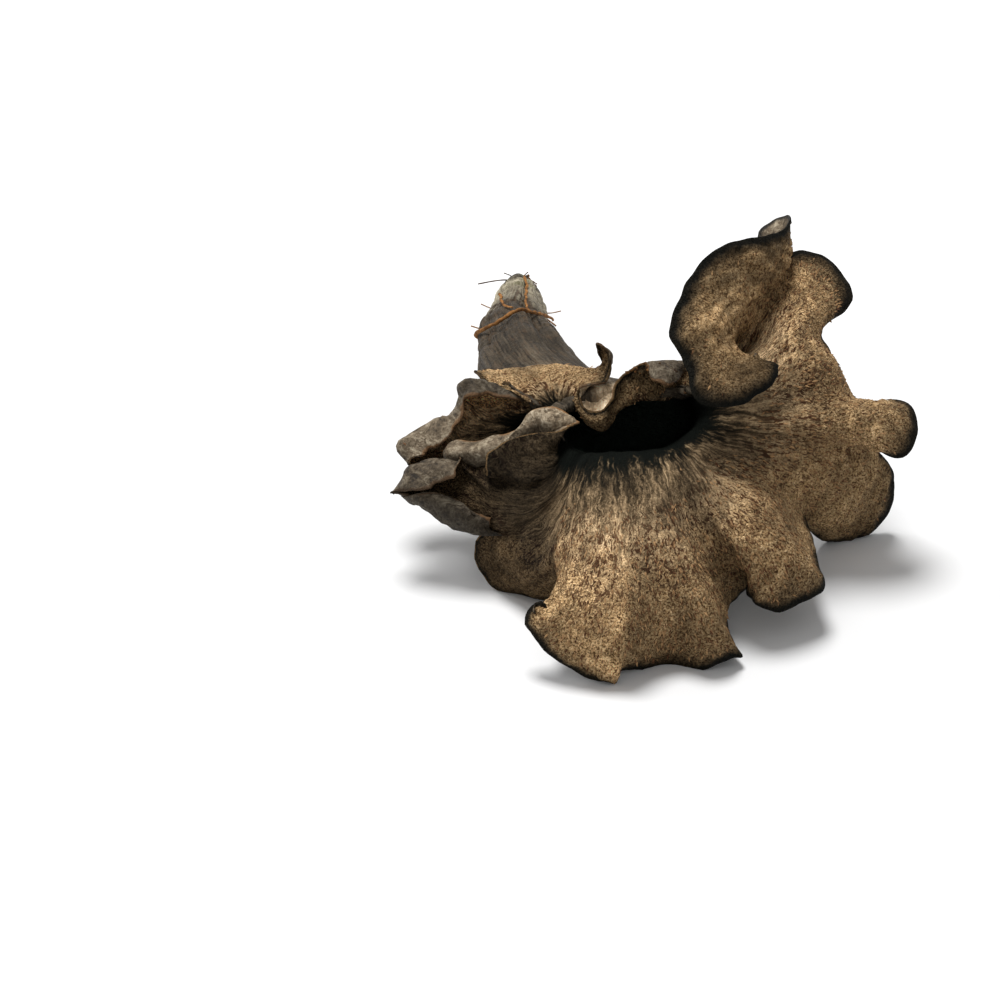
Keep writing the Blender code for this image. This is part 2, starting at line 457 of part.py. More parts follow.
def control_points():
    """Control points of the whole funnel: lines round it, rows from the tip to the margin."""
    count = len(CAP_LINES)
    angles = np.radians(RING_START + 360 * np.arange(count) / count)
    rows = stem_rows(angles)
    lines = [even_points((tuple(rows[-1][i]),) + points) for i, points in enumerate(CAP_LINES.values())]
    cap = np.array(lines)
    for i, rounds in enumerate(SMOOTH_ROUNDS):
        cap[:, i] = smoothed_around(cap[:, i], rounds)
    grid = to_world(np.concatenate([np.stack(rows, axis=1), cap], axis=1))
    drawn = grid
    for _ in range(2):
        around = (np.roll(grid, 1, axis=0) + 4 * grid + np.roll(grid, -1, axis=0)) / 6
        padded = with_end_rows(around)
        grid = grid + drawn - (padded[:, :-2] + 4 * padded[:, 1:-1] + padded[:, 2:]) / 6
    return grid


def with_end_rows(grid):
    """The grid with one more row past the tip and past the margin."""
    first = 2 * grid[:, :1] - grid[:, 1:2]
    last = 2 * grid[:, -1:] - grid[:, -2:-1]
    return np.concatenate([first, grid, last], axis=1)


def weights(f):
    """The four weights of a cubic B-spline."""
    middle = [3 * f**3 - 6 * f**2 + 4, 3 * f + 3 * f**2 - 3 * f**3 + 1]
    return np.stack([(1 - f)**3, *middle, f**3], axis=-1) / 6


def funnel_points(grid, around, along):
    """Points of the B-spline surface: around counts lines, along counts rows."""
    grid_padded = with_end_rows(grid)
    line = np.floor(around).astype(int)
    row = np.minimum(np.floor(along).astype(int), grid.shape[1] - 2)
    line_weights, row_weights = weights(around - line), weights(along - row)
    points = np.zeros((len(around), len(along), 3))
    for i in range(4):
        picked = grid_padded[(line + i - 1) % grid.shape[0]]
        for j in range(4):
            points += line_weights[:, i, None, None] * row_weights[None, :, j, None] * picked[:, row + j]
    return points


def material(name, colour, roughness):
    """A plain Principled material."""
    made = bpy.data.materials.new(name)
    made.use_nodes = True
    shader = made.node_tree.nodes["Principled BSDF"]
    shader.inputs["Base Color"].default_value = (*colour, 1)
    shader.inputs["Roughness"].default_value = roughness
    return made


def collection(name):
    """A collection in the scene."""
    made = bpy.data.collections.new(name)
    bpy.context.scene.collection.children.link(made)
    return made


def make_trumpet(group, cutters, grid):
    """The funnel: a sheet closed at the tip, given its wall, and cut level where it rests."""
    count = grid.shape[0]
    around = np.arange(AROUND) * count / AROUND
    points = funnel_points(grid, around, ALONG)
    tip = points[:, 0].mean(axis=0)
    rings = points[:, 1:]
    rows = rings.shape[1]
    verts = [tip] + list(rings.transpose(1, 0, 2).reshape(-1, 3))
    faces = []
    for i in range(AROUND):
        after = (i + 1) % AROUND
        faces.append((0, 1 + i, 1 + after))
        for j in range(rows - 1):
            a, b = 1 + j * AROUND, 1 + (j + 1) * AROUND
            faces.append((a + i, b + i, b + after, a + after))
    mesh = bpy.data.meshes.new("trumpet")
    mesh.from_pydata([tuple(v) for v in verts], [], faces)
    mesh.shade_smooth()
    trumpet = bpy.data.objects.new("trumpet", mesh)
    group.objects.link(trumpet)
    trumpet.data.materials.append(material("brown_flesh", (0.25, 0.16, 0.09), 0.85))
    wall = trumpet.modifiers.new("Wall", "SOLIDIFY")
    wall.thickness = WALL
    wall.offset = -1
    wall.use_even_offset = False

    slab_mesh = bpy.data.meshes.new("floor_cut")
    wide, low = 0.3, -0.02
    square = ((-wide, -wide), (wide, -wide), (wide, wide), (-wide, wide))
    corners = [(x, y, z) for z in (low, 0.0) for x, y in square]
    sides = [(i, (i + 1) % 4, (i + 1) % 4 + 4, i + 4) for i in range(4)]
    slab_mesh.from_pydata(corners, [], [(0, 3, 2, 1), (4, 5, 6, 7)] + sides)
    slab = bpy.data.objects.new("floor_cut", slab_mesh)
    slab.hide_render = True
    slab.display_type = "WIRE"
    cutters.objects.link(slab)
    skin = trumpet.modifiers.new("Skin", "REMESH")
    skin.mode = "VOXEL"
    skin.voxel_size = SKIN_CELL
    skin.use_smooth_shade = True
    facets = trumpet.modifiers.new("Facets", "DECIMATE")
    facets.ratio = FACET_SHARE
    level = trumpet.modifiers.new("Level", "BOOLEAN")
    level.operation = "DIFFERENCE"
    level.solver = "EXACT"
    level.object = slab


def make_strand(group, grid, name, radius, path, shade):
    """A root strand: a thin tube laid round the stem at a small lift from its outside."""
    count = grid.shape[0]
    points = []
    for row, angle, lift in path:
        line = (angle - RING_START) % 360 / 360 * count
        near = np.array([line, line + 0.5])
        patch = funnel_points(grid, near, np.array([row, row + 0.1]))
        normal = np.cross(patch[1, 0] - patch[0, 0], patch[0, 1] - patch[0, 0])
        normal /= np.linalg.norm(normal)
        points.append(patch[0, 0] + normal * (WALL + lift))
    given = np.array(points)
    ends = np.vstack([2 * given[0] - given[1], given, 2 * given[-1] - given[-2]])
    fine = []
    for i in range(len(given) - 1):
        a, b, c, d = ends[i:i + 4]
        for s in np.linspace(0, 1, 3, endpoint=False):
            fine.append(0.5 * (2 * b + (c - a) * s + (2 * a - 5 * b + 4 * c - d) * s**2
                               + (3 * b - a - 3 * c + d) * s**3))
    fine.append(given[-1])
    curve = bpy.data.curves.new(name, "CURVE")
    curve.dimensions = "3D"
    curve.bevel_depth = radius
    curve.bevel_resolution = 2
    curve.use_fill_caps = True
    spline = curve.splines.new("POLY")
    spline.points.add(len(fine) - 1)
    for point, place in zip(spline.points, fine):
        point.co = (*place, 1)
    strand = bpy.data.objects.new(name, curve)
    strand.data.materials.append(shade)
    group.objects.link(strand)


for old in list(bpy.data.objects):
    bpy.data.objects.remove(old, do_unlink=True)
mushroom = collection("black_trumpet_mushroom")
cutter_group = collection("cutters")
cage = control_points()
make_trumpet(mushroom, cutter_group, cage)
orange = material("root_orange", (0.4, 0.16, 0.05), 0.8)
for strand_name, (strand_radius, strand_path) in STRANDS.items():
    make_strand(mushroom, cage, strand_name, strand_radius, strand_path, orange)
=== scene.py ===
import math

import bpy
import numpy as np
from mathutils import Matrix, Vector


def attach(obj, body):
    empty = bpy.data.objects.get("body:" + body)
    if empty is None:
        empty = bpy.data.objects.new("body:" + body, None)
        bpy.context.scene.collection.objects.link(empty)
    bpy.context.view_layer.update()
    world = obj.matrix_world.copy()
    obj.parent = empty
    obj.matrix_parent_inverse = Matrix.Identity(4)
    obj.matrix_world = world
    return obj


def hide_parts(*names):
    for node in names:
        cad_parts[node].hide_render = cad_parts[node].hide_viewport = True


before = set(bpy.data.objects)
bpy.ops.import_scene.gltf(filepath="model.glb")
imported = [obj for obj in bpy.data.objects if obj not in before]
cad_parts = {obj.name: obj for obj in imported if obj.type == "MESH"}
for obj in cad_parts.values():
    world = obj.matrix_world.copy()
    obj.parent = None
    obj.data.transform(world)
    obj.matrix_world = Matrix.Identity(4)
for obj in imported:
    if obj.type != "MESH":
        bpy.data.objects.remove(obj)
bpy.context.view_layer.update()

# A black trumpet mushroom lying on its side: one thin funnel, brown and scaly inside, ash grey outside.
# The funnel is a cubic B-spline sheet through drawn lines, given its wall, ribs and lumps in numpy.

# How the drawing becomes metres: a viewer far in front and above sees the lines as they are drawn
drawing = {
    "unit": 0.0015,  # metres
    "viewTilt": 32.0,  # degrees
    "viewerDistance": 420.0,  # units, as the four below
    "viewRight": -10.0,
    "viewUp": -7.0,
    "zeroHeight": 15.05,
    "halfView": 50.0,
    "shift": (-0.0079, -0.02305, 0.0),  # metres
}

stemShape = {
    # rings from the tip to the mouth: centre (right, up, toward the viewer), half width, half depth
    "rings": (
        ((-8.1, 14.4, -52.5), 0.8, 0.8),
        ((-8.1, 13.6, -50.5), 1.4, 1.3),
        ((-8.15, 12.5, -47.5), 1.95, 1.7),
        ((-8.3, 11, -43.1), 2.3, 1.9),
        ((-8.5, 9.4, -38.8), 3.15, 2.5),
        ((-7.7, 7.8, -33.3), 3.9, 2.9),
        ((-6.9, 6, -27.5), 4.6, 3.2),
        ((-3.5, 2.7, -18), 5.3, 2.9),
        ((2.1, 0.9, -8), 7.2, 3.4),
    ),
    "firstAngle": -104.0,  # degrees
    "folds": ((3, 0.22, 40.0), (7, 0.2, 10.0), (11, 0.12, 75.0)),  # count, height, turn in degrees
    "fullFolds": 4.0,  # half width at which the folds have their full height
    "neckFolds": (7, 0.3),  # ring from which they are lower, and how high they are left
    "outerRows": (0.35, 120),  # first row and number of rows of each face
    "innerRows": (0.8, 24),
}

capShape = {
    # where each drawn line is read for a row, in shares of its length
    "rowShares": (0.13, 0.26, 0.38, 0.49, 0.59, 0.68, 0.76, 0.83, 0.89, 0.945, 1.0),
    "smoothRounds": (10, 8, 6, 3, 1, 0, 0, 0, 0, 0, 0),  # for each row
    "lineSteps": 24,  # between two drawn points
    "fitRounds": 2,
    "wall": (0.00093, 0.00042),  # metres, in the stem and at the margin
    "thinning": (0.45, 0.5),  # share of the rows at which it begins, and share that it takes
    "mostHollow": 0.3,  # share of the wall that the brown relief may take
    "leastOuter": 0.4,  # share of the wall that the grey relief leaves
    "thinEdge": 0.0012,  # metres from the margin over which the relief dies away
    "overFloor": (0.00004, 0.00006),  # least height of the inner and the outer face
    "around": 840,  # places round the funnel
    "evenShare": 0.35,  # of the places, spread evenly over the lines and not by the margin's length
    "throat": 8.5,  # row
    "joint": 5.6,  # row where the piece of the cap meets the piece of the stem
    "innerRows": (12, 130),  # from the joint to the throat and from there to the margin
    "outerRows": (16, 80),
    "rimTurns": (30, 60, 90, 120, 150),  # degrees
}

# Lines round the mouth, each from just outside the mouth to the margin
capLines = {
    "frontNotch": ((-2, -3.1, 2), (-4, -9, 8), (-4.5, -13, 8.5), (-3.9, -16, 8.7), (-4.4, -18.8, 9.6)),
    "frontHook": ((-1.6, -3.1, 2.3), (-3.5, -10, 9), (-3.9, -14.5, 10.5), (-4.6, -17.6, 11),
        (-5.2, -19.1, 11.2)),
    "frontHook2": ((-1.4, -3.1, 2.4), (-3.2, -10.4, 9.4), (-3.8, -15.2, 11.2), (-5.6, -19, 11.8),
        (-6.9, -18.6, 11.5), (-6.9, -17.4, 11.3), (-6.2, -16.8, 11.4), (-5.6, -17.2, 11.8)),
    "frontLeft": ((-1.2, -3.1, 2.6), (-2.8, -11, 10), (-3.8, -16, 12), (-5.8, -19, 12),
        (-7.4, -18.4, 11.2)),
    "frontLeft2": ((-0.8, -3.1, 2.8), (-2, -11, 10.3), (-3.2, -16.5, 12.8), (-5, -19, 12.8),
        (-6.8, -20.2, 11.8)),
    "frontLeftLow": ((-0.2, -3.1, 3), (-1, -11, 10.6), (-2, -17, 13.4), (-3.6, -20.5, 13.4),
        (-4.9, -22.7, 12)),
    "frontLow": ((0.8, -3.1, 3.2), (0.5, -11, 10.8), (-0.2, -18, 14), (-1, -22, 13.8), (-1.6, -24.7, 11.6)),
    "frontPoint": ((1.5, -3.1, 3.35), (1.8, -11, 10.8), (1.5, -18, 14), (0.9, -22.6, 13.8),
        (0.6, -25.3, 11.3)),
    "frontPointTip": ((1.8, -3.1, 3.4), (2.2, -11, 10.8), (2.1, -18, 14), (1.7, -22.6, 13.7),
        (1.4, -25.7, 10.9)),
    "frontPointSide": ((2.1, -3.1, 3.4), (2.7, -11, 10.7), (2.7, -17.8, 14.4), (2.3, -22, 14),
        (1.8, -24.6, 11.2)),
    "frontRecess": ((2.8, -3.1, 3.4), (3.6, -11, 10.6), (3.6, -17, 14.2), (3.6, -21, 13.6),
        (3.6, -24.1, 10.4)),
    "frontRecess2": ((4, -3.1, 3.4), (5.6, -11, 10.1), (6.4, -17, 11.6), (6.8, -21, 10.2),
        (6.9, -24.2, 8.4)),
    "frontRight": ((5, -3.1, 3.3), (7.1, -11, 10.1), (8.8, -17, 12.4), (9.8, -21, 11.9), (10.4, -24, 9.8)),
    "frontRightPoint": ((5.6, -3, 3.2), (7.8, -10.6, 9.9), (10.1, -16.7, 12.5), (11.6, -20.5, 12.2),
        (12.9, -23, 10)),
    "frontRightTip": ((5.8, -3, 3.2), (8.1, -10.4, 9.8), (10.6, -16.3, 12.2), (12.5, -20.1, 11.8),
        (14.2, -22.6, 9.5)),
    "frontRightSide": ((6.1, -3, 3.1), (8.4, -10.2, 9.3), (10.8, -15.6, 11), (12.3, -18.8, 9.8),
        (13.3, -20.9, 7.6)),
    "valley1": ((6.6, -2.95, 3.2), (8.8, -9.8, 8.5), (11, -14, 8.5), (12.2, -16.5, 6), (12.6, -18, 2.5)),
    "valley2": ((7.4, -2.85, 3.1), (9.8, -9.2, 7.8), (12, -12.8, 6.8), (13.2, -15.2, 4.2),
        (13.9, -16.9, 1.5)),
    "rightBottomCurl": ((7.8, -2.8, 3.05), (10.9, -8.8, 7.9), (13.2, -12.4, 7.6), (14.4, -14.2, 5.6),
        (15, -15.4, 3.4)),
    "rightBottomCurl2": ((8.2, -2.65, 3), (11.8, -8.8, 8.4), (14.2, -12.8, 9.2), (15, -15, 8.4),
        (14.5, -16.2, 6.4)),
    "rightBottomCurl3": ((8.4, -2.65, 2.95), (12.3, -8.6, 8.3), (14.9, -12.8, 9.5), (15.8, -15.6, 9),
        (15.4, -17.5, 6.8)),
    "rightBottom": ((8.6, -2.65, 2.9), (12.8, -8.3, 8.2), (15.6, -12.5, 9.6), (17, -15.8, 9),
        (17.8, -18.2, 6.8)),
    "rightBottom2": ((8.4, -2.5, 2.7), (14, -7.8, 7.8), (17.5, -12, 9), (19.2, -15, 8.5),
        (20.4, -17.2, 6.6)),
    "rightBottomRight": ((9, -2.2, 2.5), (15, -7.2, 7), (19, -11.4, 7.8), (21, -13.8, 7.2),
        (22.2, -15.8, 5.6)),
    "rightBottomSide": ((8.7, -2.4, 2.5), (15.6, -6.4, 5.8), (19.5, -10.4, 5), (21, -12.3, 4),
        (22, -13.9, 2.5)),
    "valley3": ((9.3, -2.1, 2.2), (16, -5.2, 3.8), (18.8, -7.3, 1), (19.9, -8.5, -1.8), (20.5, -8.8, -4.5)),
    "rightLeft": ((9.9, -1.7, 1.9), (16.6, -4.4, 2.5), (19.8, -7, -1.5), (21, -9, -5), (21.2, -10.2, -8)),
    "rightBottomEdge": ((10.5, -1.5, 2), (17.5, -4, 1.7), (21.5, -6.8, -2.5), (23, -9.6, -7),
        (23.4, -11.2, -10.8)),
    "rightBottomEdge2": ((11.1, -1.2, 1.7), (19, -3.7, 1), (24, -6.5, -3.3), (25.6, -9, -7.6),
        (26.4, -10.8, -11.2)),
    "rightLow": ((11.5, -0.9, 1.5), (20, -3.2, 0.5), (24.6, -5.5, -3.5), (27.2, -7.3, -7.8),
        (28.7, -8.5, -11)),
    "rightSide": ((11.8, -0.6, 1.4), (20.5, -2.5, 0.5), (25, -4, -3), (27.8, -5, -6.5), (29.5, -5.6, -9.5)),
    "rightTop": ((12, -0.2, 1.2), (20.5, -1.7, 0.7), (24.6, -2.5, -2), (27, -2.9, -4.8),
        (28.8, -3.3, -7.5)),
    "rightNotch": ((12.2, 0.2, 1), (20.5, -1, 1), (24, -1.5, -0.8), (26, -1.7, -3), (27.5, -1.9, -5)),
    "upperRightLow": ((12.3, 0.5, 0.9), (20.5, -0.3, 1.5), (25, -0.7, 1.2), (28, -1.6, 0.5),
        (29.6, -2.9, -0.8)),
    "upperRightSide": ((12.4, 0.9, 0.8), (20.6, 0.4, 1.8), (25.5, 0.2, 1.8), (29, -0.3, 0.8),
        (31.5, -1, -1.5)),
    "upperRightSide2": ((12.4, 1.3, 0.7), (20.5, 1.1, 1.8), (25.4, 1.2, 1.8), (29, 1.2, 0.6),
        (31.5, 1.5, -2.5)),
    "upperRightTop": ((12.3, 1.7, 0.5), (20, 1.9, 1.6), (24.8, 2.2, 1.2), (28, 2.4, -0.8), (29.6, 2.8, -4)),
    "back1": ((12.1, 2.1, 0.3), (19.3, 2.7, 1.2), (23.4, 2.9, 0.2), (25.6, 2.9, -3.5), (26, 2.8, -8)),
    "wall1": ((11.7, 2.6, 0), (18.3, 3.7, 1), (22.5, 4.2, 0), (24.7, 4.2, -4), (24.3, 4.2, -9)),
    "wall2": ((11.3, 3.1, -0.3), (17.4, 4.8, 1), (21.2, 6.8, 0.4), (23.4, 7.4, -3.5), (23, 7, -8.5)),
    "smallRoundLow": ((10.9, 3.5, -0.7), (16.8, 5.8, 0.8), (19.8, 8.4, 0.4), (21.3, 9.5, -2.5),
        (22, 9.9, -6)),
    "smallRoundRight": ((10.5, 3.9, -1.1), (16.3, 6.4, 0.5), (19.2, 9.8, 0), (21.8, 11.3, -3),
        (24.4, 11.9, -6.3)),
    "smallRoundRight2": ((11.1, 4.1, -1.2), (16, 6.9, 0.1), (19, 10.8, -0.8), (22, 13.2, -3.8),
        (24.9, 14.4, -7)),
    "smallRoundTop": ((10.9, 4.3, -1.6), (15.7, 7.3, -0.4), (18.6, 11.5, -1.8), (21, 14.8, -4.8),
        (22.8, 17.4, -8)),
    "smallRoundTopLeft": ((10.7, 4.5, -2), (15.4, 7.7, -1), (18, 11.8, -3), (19.3, 15.2, -6), (20, 18, -9)),
    "back2": ((10.5, 4.5, -2.5), (15.1, 7.9, -1.8), (17.4, 12, -3.6), (18.6, 15, -6.2), (18.4, 17.5, -10)),
    "back3": ((10.4, 4.5, -3), (14.9, 8.2, -2.6), (17.2, 12.2, -4), (17.7, 15.8, -7), (15.9, 19.3, -11)),
    "earFoldBack": ((10.3, 4.5, -3.5), (14.8, 8.3, -3.1), (16.9, 12.5, -4), (18.4, 16.8, -6.8),
        (17.5, 20.9, -9.8)),
    "earFoldTop": ((10.2, 4.5, -3.8), (14.6, 8.5, -3.5), (16.8, 12.5, -3.9), (19, 17, -5.6),
        (19.1, 21.2, -7)),
    "earTop": ((10.1, 4.5, -4), (14.4, 8.6, -3.8), (16.2, 12.5, -3.3), (18.3, 16.8, -3.2),
        (18.3, 19.8, -3)),
    "ear1": ((10, 4.5, -4.2), (14.2, 8.7, -3.9), (15.1, 12.5, -1.6), (15.6, 16.2, -0.4),
        (15.7, 19.1, -0.6)),
    "ear2": ((9.9, 4.4, -4.3), (13.9, 8.7, -3.8), (13.9, 11.6, 0.6), (13, 15.6, 1.9), (12.2, 18.4, 1.6)),
    "ear3": ((10.6, 4.4, -4.4), (13.8, 8.5, -3.6), (13, 10.8, 1.8), (11, 14.2, 3.5), (9.8, 16.4, 3.2)),
    "ear4": ((10.5, 4.3, -4.5), (13.6, 8.3, -3.3), (12.6, 9.9, 2.8), (10, 12, 4.7), (8, 13.1, 4.5)),
    "ear5": ((10.4, 4.3, -4.5), (13.5, 8, -2.9), (12.4, 9, 3.6), (9.8, 9.6, 5.3), (7.1, 9.4, 5)),
    "ear6": ((10.3, 4.2, -4.6), (13.6, 7.6, -2.5), (12.5, 8, 4), (10.3, 7.4, 5.8), (8.7, 6.7, 5.8)),
    "ear7": ((10.2, 4.1, -4.6), (13.9, 7.3, -2.1), (12.9, 7, 4.6), (10.9, 5.2, 6.6), (9.1, 3.5, 6.4)),
    "ear8": ((10.1, 4, -4.7), (14.3, 7.1, -1.8), (13.6, 6.4, 4.8), (12.6, 4.1, 7), (12.2, 2.3, 6.8)),
    "ear9": ((10, 3.9, -4.8), (14.7, 7.1, -1.4), (14.8, 6.4, 4.6), (15.2, 4.7, 6.8), (15.6, 3.3, 6.3)),
    "ear9Right": ((9.9, 3.9, -4.9), (14.9, 7.2, -1.3), (15.3, 6.7, 4.2), (16.3, 5.4, 6.2),
        (17.1, 4.6, 5.7)),
    "ear10": ((9.8, 3.9, -5), (15.1, 7.4, -1.2), (15.7, 7, 3.6), (16.8, 6.5, 5.2), (17.6, 5.9, 4.8)),
    "ear10Back": ((9.7, 3.9, -5.1), (15, 7.4, -1.8), (15.5, 7.2, 2.2), (16.4, 7, 3.8), (17.1, 6.7, 3.4)),
    "ear11": ((9.6, 3.9, -5.2), (14.9, 7.1, -2.4), (15.4, 6.5, -0.6), (16, 6, 0.8), (16.6, 5.4, 0.6)),
    "backWall1": ((9.2, 4, -6.1), (12, 6, -6.5), (13, 6.3, -8), (13, 6.3, -9.5), (12.8, 6, -11)),
    "backWall2": ((8.1, 3.6, -6.7), (9.1, 5, -7.4), (9.4, 6.2, -8.8), (9.2, 6.8, -10), (8.8, 6.8, -11.5)),
    "curl1": ((7, 2.7, -6.6), (6.9, 4.4, -6.2), (6.9, 6, -6.8), (6.9, 6.6, -6.4), (7.1, 5.6, -4.8),
        (7.2, 4.4, -4.2)),
    "curl2": ((5.4, 1.9, -6), (5.1, 4.2, -5.4), (5, 6, -6), (5, 6.5, -5.8), (5.1, 6, -4.6), (5.1, 5.3, -4)),
    "curl3": ((4.2, 1.7, -6), (4, 4, -5.4), (4, 5.4, -5.2), (4, 6.1, -4.8)),
    "curl4": ((2.8, 2.6, -6.6), (2.9, 4.2, -6.6), (2.5, 2.2, -5.1), (2.2, 2.1, -4.5), (2.1, 3.3, -4.6),
        (2, 4.6, -4.1)),
    "scoop1": ((1.4, 3.2, -7), (1.7, 5.6, -6.8), (1.4, 3, -5.3), (1.3, 0.6, -4.3), (1.2, 0.7, -3.6),
        (1.2, 1.9, -3.6), (1.2, 3.1, -3.3)),
    "scoop2": ((0.4, 3.2, -7.2), (0.5, 5.4, -7), (0.4, 2.6, -5.4), (0.3, 0.2, -4.5), (0.3, -0.2, -3.9),
        (0.3, 0.6, -3.1), (0.3, 1.8, -2.9)),
    "scoop3": ((-0.8, 3, -7.2), (-0.8, 4.6, -6.8), (-1, 2.4, -5.6), (-1.1, 0.6, -4.8), (-1.2, 0.2, -4.2),
        (-1.4, 0.9, -3.5), (-1.4, 2, -3.4)),
    "scoop4": ((-1.8, 2.6, -6.6), (-2, 2, -5.5), (-2.3, 2.1, -4.7), (-2.5, 2.9, -4.3), (-2.4, 3.9, -4.2)),
    "backLeftRight": ((-2.4, 2.4, -6.2), (-2.4, 3.2, -5.1), (-2, 4.2, -4.6), (-1.3, 4.9, -4.2)),
    "backLeftRight2": ((-2.9, 2.2, -6.2), (-2.8, 3.6, -5.2), (-1.6, 4.8, -5), (-0.2, 5.7, -5.2),
        (0.9, 6.3, -4.8)),
    "backLeftTip": ((-3.2, 2.3, -6.4), (-3, 4.2, -6), (-1.2, 5.5, -6.6), (0.6, 6.3, -6.8),
        (1.2, 7.2, -6.2), (0.5, 8.1, -5.7), (-0.5, 8.2, -5.5)),
    "backLeftEdge": ((-3.4, 2.35, -6.5), (-3.2, 4.4, -6.6), (-1.6, 5.8, -8), (-0.4, 6.2, -8.8),
        (0.3, 6.2, -9.8)),
    "backLeftBack1": ((-3.6, 2.4, -6.6), (-3.4, 4.6, -7), (-2.2, 6, -9), (-1.8, 6.2, -12),
        (-1.8, 5.4, -15)),
    "backLeftBack2": ((-4.2, 2.4, -6.8), (-4.6, 4.6, -7.4), (-5.2, 6, -10), (-5.4, 6.1, -13),
        (-5.5, 5.2, -16)),
    "backLeftBack3": ((-4.8, 2.3, -6.8), (-6, 4.2, -7.2), (-8, 5.7, -9.6), (-9, 6, -12.5),
        (-9.6, 5.3, -15)),
    "backLeftSide": ((-5.2, 2.2, -6.6), (-7, 3.8, -6.6), (-9.5, 4.9, -7.6), (-11.3, 5.8, -9.2),
        (-12.4, 6.6, -10.6)),
    "backLeftLow": ((-5.5, 2.1, -6.2), (-6.6, 3, -5.6), (-8, 3.6, -5.6), (-9, 4, -6), (-10.2, 4.6, -6.6)),
    "leftSinus": ((-5.6, 1.9, -6.2), (-6.1, 2.4, -5.8), (-6.5, 2.7, -5.7), (-6.8, 2.9, -5.8), (-7, 3, -6)),
    "leftUp1": ((-5.8, 1.7, -6.5), (-7.2, 2, -7), (-8.6, 3, -8.5), (-9.2, 3.9, -8), (-9.2, 3.9, -6.8),
        (-9.1, 3.3, -5.8)),
    "leftUp2": ((-6, 1.4, -6.6), (-8.6, 1.8, -7.2), (-11, 2.9, -9.2), (-11.7, 4.2, -8.8),
        (-11.7, 4.5, -7), (-11.2, 3.7, -5.8)),
    "leftTubeEnd": ((-6.1, 1.2, -6.8), (-9, 1.4, -7.4), (-12, 2.3, -9), (-13.7, 3.1, -9),
        (-14.2, 3.9, -7.8), (-13.6, 4.7, -6.8), (-12.8, 4, -6), (-12.7, 3.2, -5.8)),
    "fingerTop": ((-6.2, 1, -7), (-9, 0.8, -7.8), (-11.6, 1.4, -8.8), (-13.6, 2.7, -8.6),
        (-13.8, 2.6, -7.4), (-13.3, 2.2, -6.6)),
    "fingerTop2": ((-6.2, 0.9, -7.2), (-9.2, 0.4, -8), (-12.4, 0.2, -9), (-14.8, 1.3, -8.6),
        (-15, 1.2, -7.2), (-14.3, 0.4, -6.2)),
    "fingerMid": ((-6.3, 0.7, -7.4), (-9.5, -0.2, -8.4), (-13.5, -0.6, -9.2), (-15.8, 0.7, -8.8),
        (-16, 0.7, -6.8), (-15.1, -1, -5.4)),
    "fingerMid2": ((-6.3, 0.5, -7.6), (-9.8, -0.6, -8.6), (-14.5, -1.6, -9.2), (-17.6, -0.4, -8.6),
        (-18, -0.4, -6.6), (-16.4, -2, -5.2)),
    "fingerEnd": ((-6.4, 0.3, -7.8), (-10, -1, -8.6), (-15, -2.6, -9), (-19.4, -2, -8.2),
        (-20, -1.9, -6.2), (-17.6, -2.8, -5)),
    "fingerBelow": ((-6.4, 0.1, -7.8), (-10, -1.6, -8.8), (-14, -3.5, -8.6), (-17.4, -4.1, -7.4),
        (-19.2, -3.5, -6)),
    "fingerGap": ((-6.4, 0.1, -7.8), (-9.6, -1.4, -8.8), (-12.4, -2.6, -8.8), (-14, -3.2, -8.2)),
    "rollLeft": ((-6.4, 0, -7.6), (-10, -1.6, -7.6), (-13.2, -3.1, -6), (-15.2, -3, -4.2),
        (-15.7, -2.2, -3.7), (-15, -1.8, -4.8)),
    "rollMid": ((-6.4, -0.3, -7), (-9, -1.8, -6.6), (-11.4, -3.6, -4.4), (-12.4, -2.7, -3),
        (-12.4, -1.8, -3), (-11.8, -1.6, -4.2)),
    "rollMid2": ((-6.2, -0.5, -6.4), (-8, -1.8, -5.4), (-9.3, -2.6, -3.2), (-9.9, -1.8, -2.6),
        (-9.9, -1.1, -2.8), (-9.6, -0.9, -3.6)),
    "rollRight": ((-5.6, -0.4, -5.8), (-6.4, -0.4, -4.4), (-6.7, 0.2, -3.4), (-6.6, 1, -3.2),
        (-6.5, 1.6, -3.4), (-6.4, 2.1, -3.8)),
    "rollEnd": ((-4.6, -0.2, -5.2), (-4.4, 0, -4), (-3.8, 0.4, -3.2), (-3.2, 0.7, -2.8), (-2.8, 1, -2.8),
        (-2.4, 1.3, -3)),
    "mainSinus": ((-4.2, -0.6, -4.6), (-3.8, -0.4, -3.6), (-3.4, -0.2, -2.8), (-3, -0.1, -2.3),
        (-2.6, 0.1, -2)),
    "mainTop": ((-4, -1.5, -4), (-4, -1.8, -1.5), (-4.6, -1.4, 0), (-5.3, -0.8, 0.2), (-6, -0.2, -0.4)),
    "mainLeft": ((-4, -2.4, -3), (-4.6, -3, -0.2), (-6, -2.9, 0.8), (-8, -2.2, 0.9), (-9.7, -1.3, 0.2)),
    "mainLeft2": ((-3.8, -2.6, -2.3), (-4.8, -4, 1), (-6.6, -4.3, 2), (-9, -3.9, 1.6), (-11.2, -2.9, 0.4)),
    "pouchNotch": ((-3.6, -2.1, -2.2), (-4.8, -4.8, 2.2), (-6.6, -5.3, 2.9), (-8.9, -5.2, 1.3),
        (-10.9, -4.5, 0.1)),
    "pouchBack": ((-3.5, -2.2, -2), (-4.8, -5.2, 2.5), (-7, -6, 3), (-9.6, -6, 0.6), (-11.8, -4.6, -2.4),
        (-12.6, -2.4, -5)),
    "pouchTop": ((-3.4, -2.2, -1.8), (-4.9, -5.6, 2.7), (-7.2, -6.6, 3.4), (-10.4, -6, 0.2),
        (-13, -4.2, -2.4), (-14.2, -3, -2.2), (-14.4, -3.8, -0.4)),
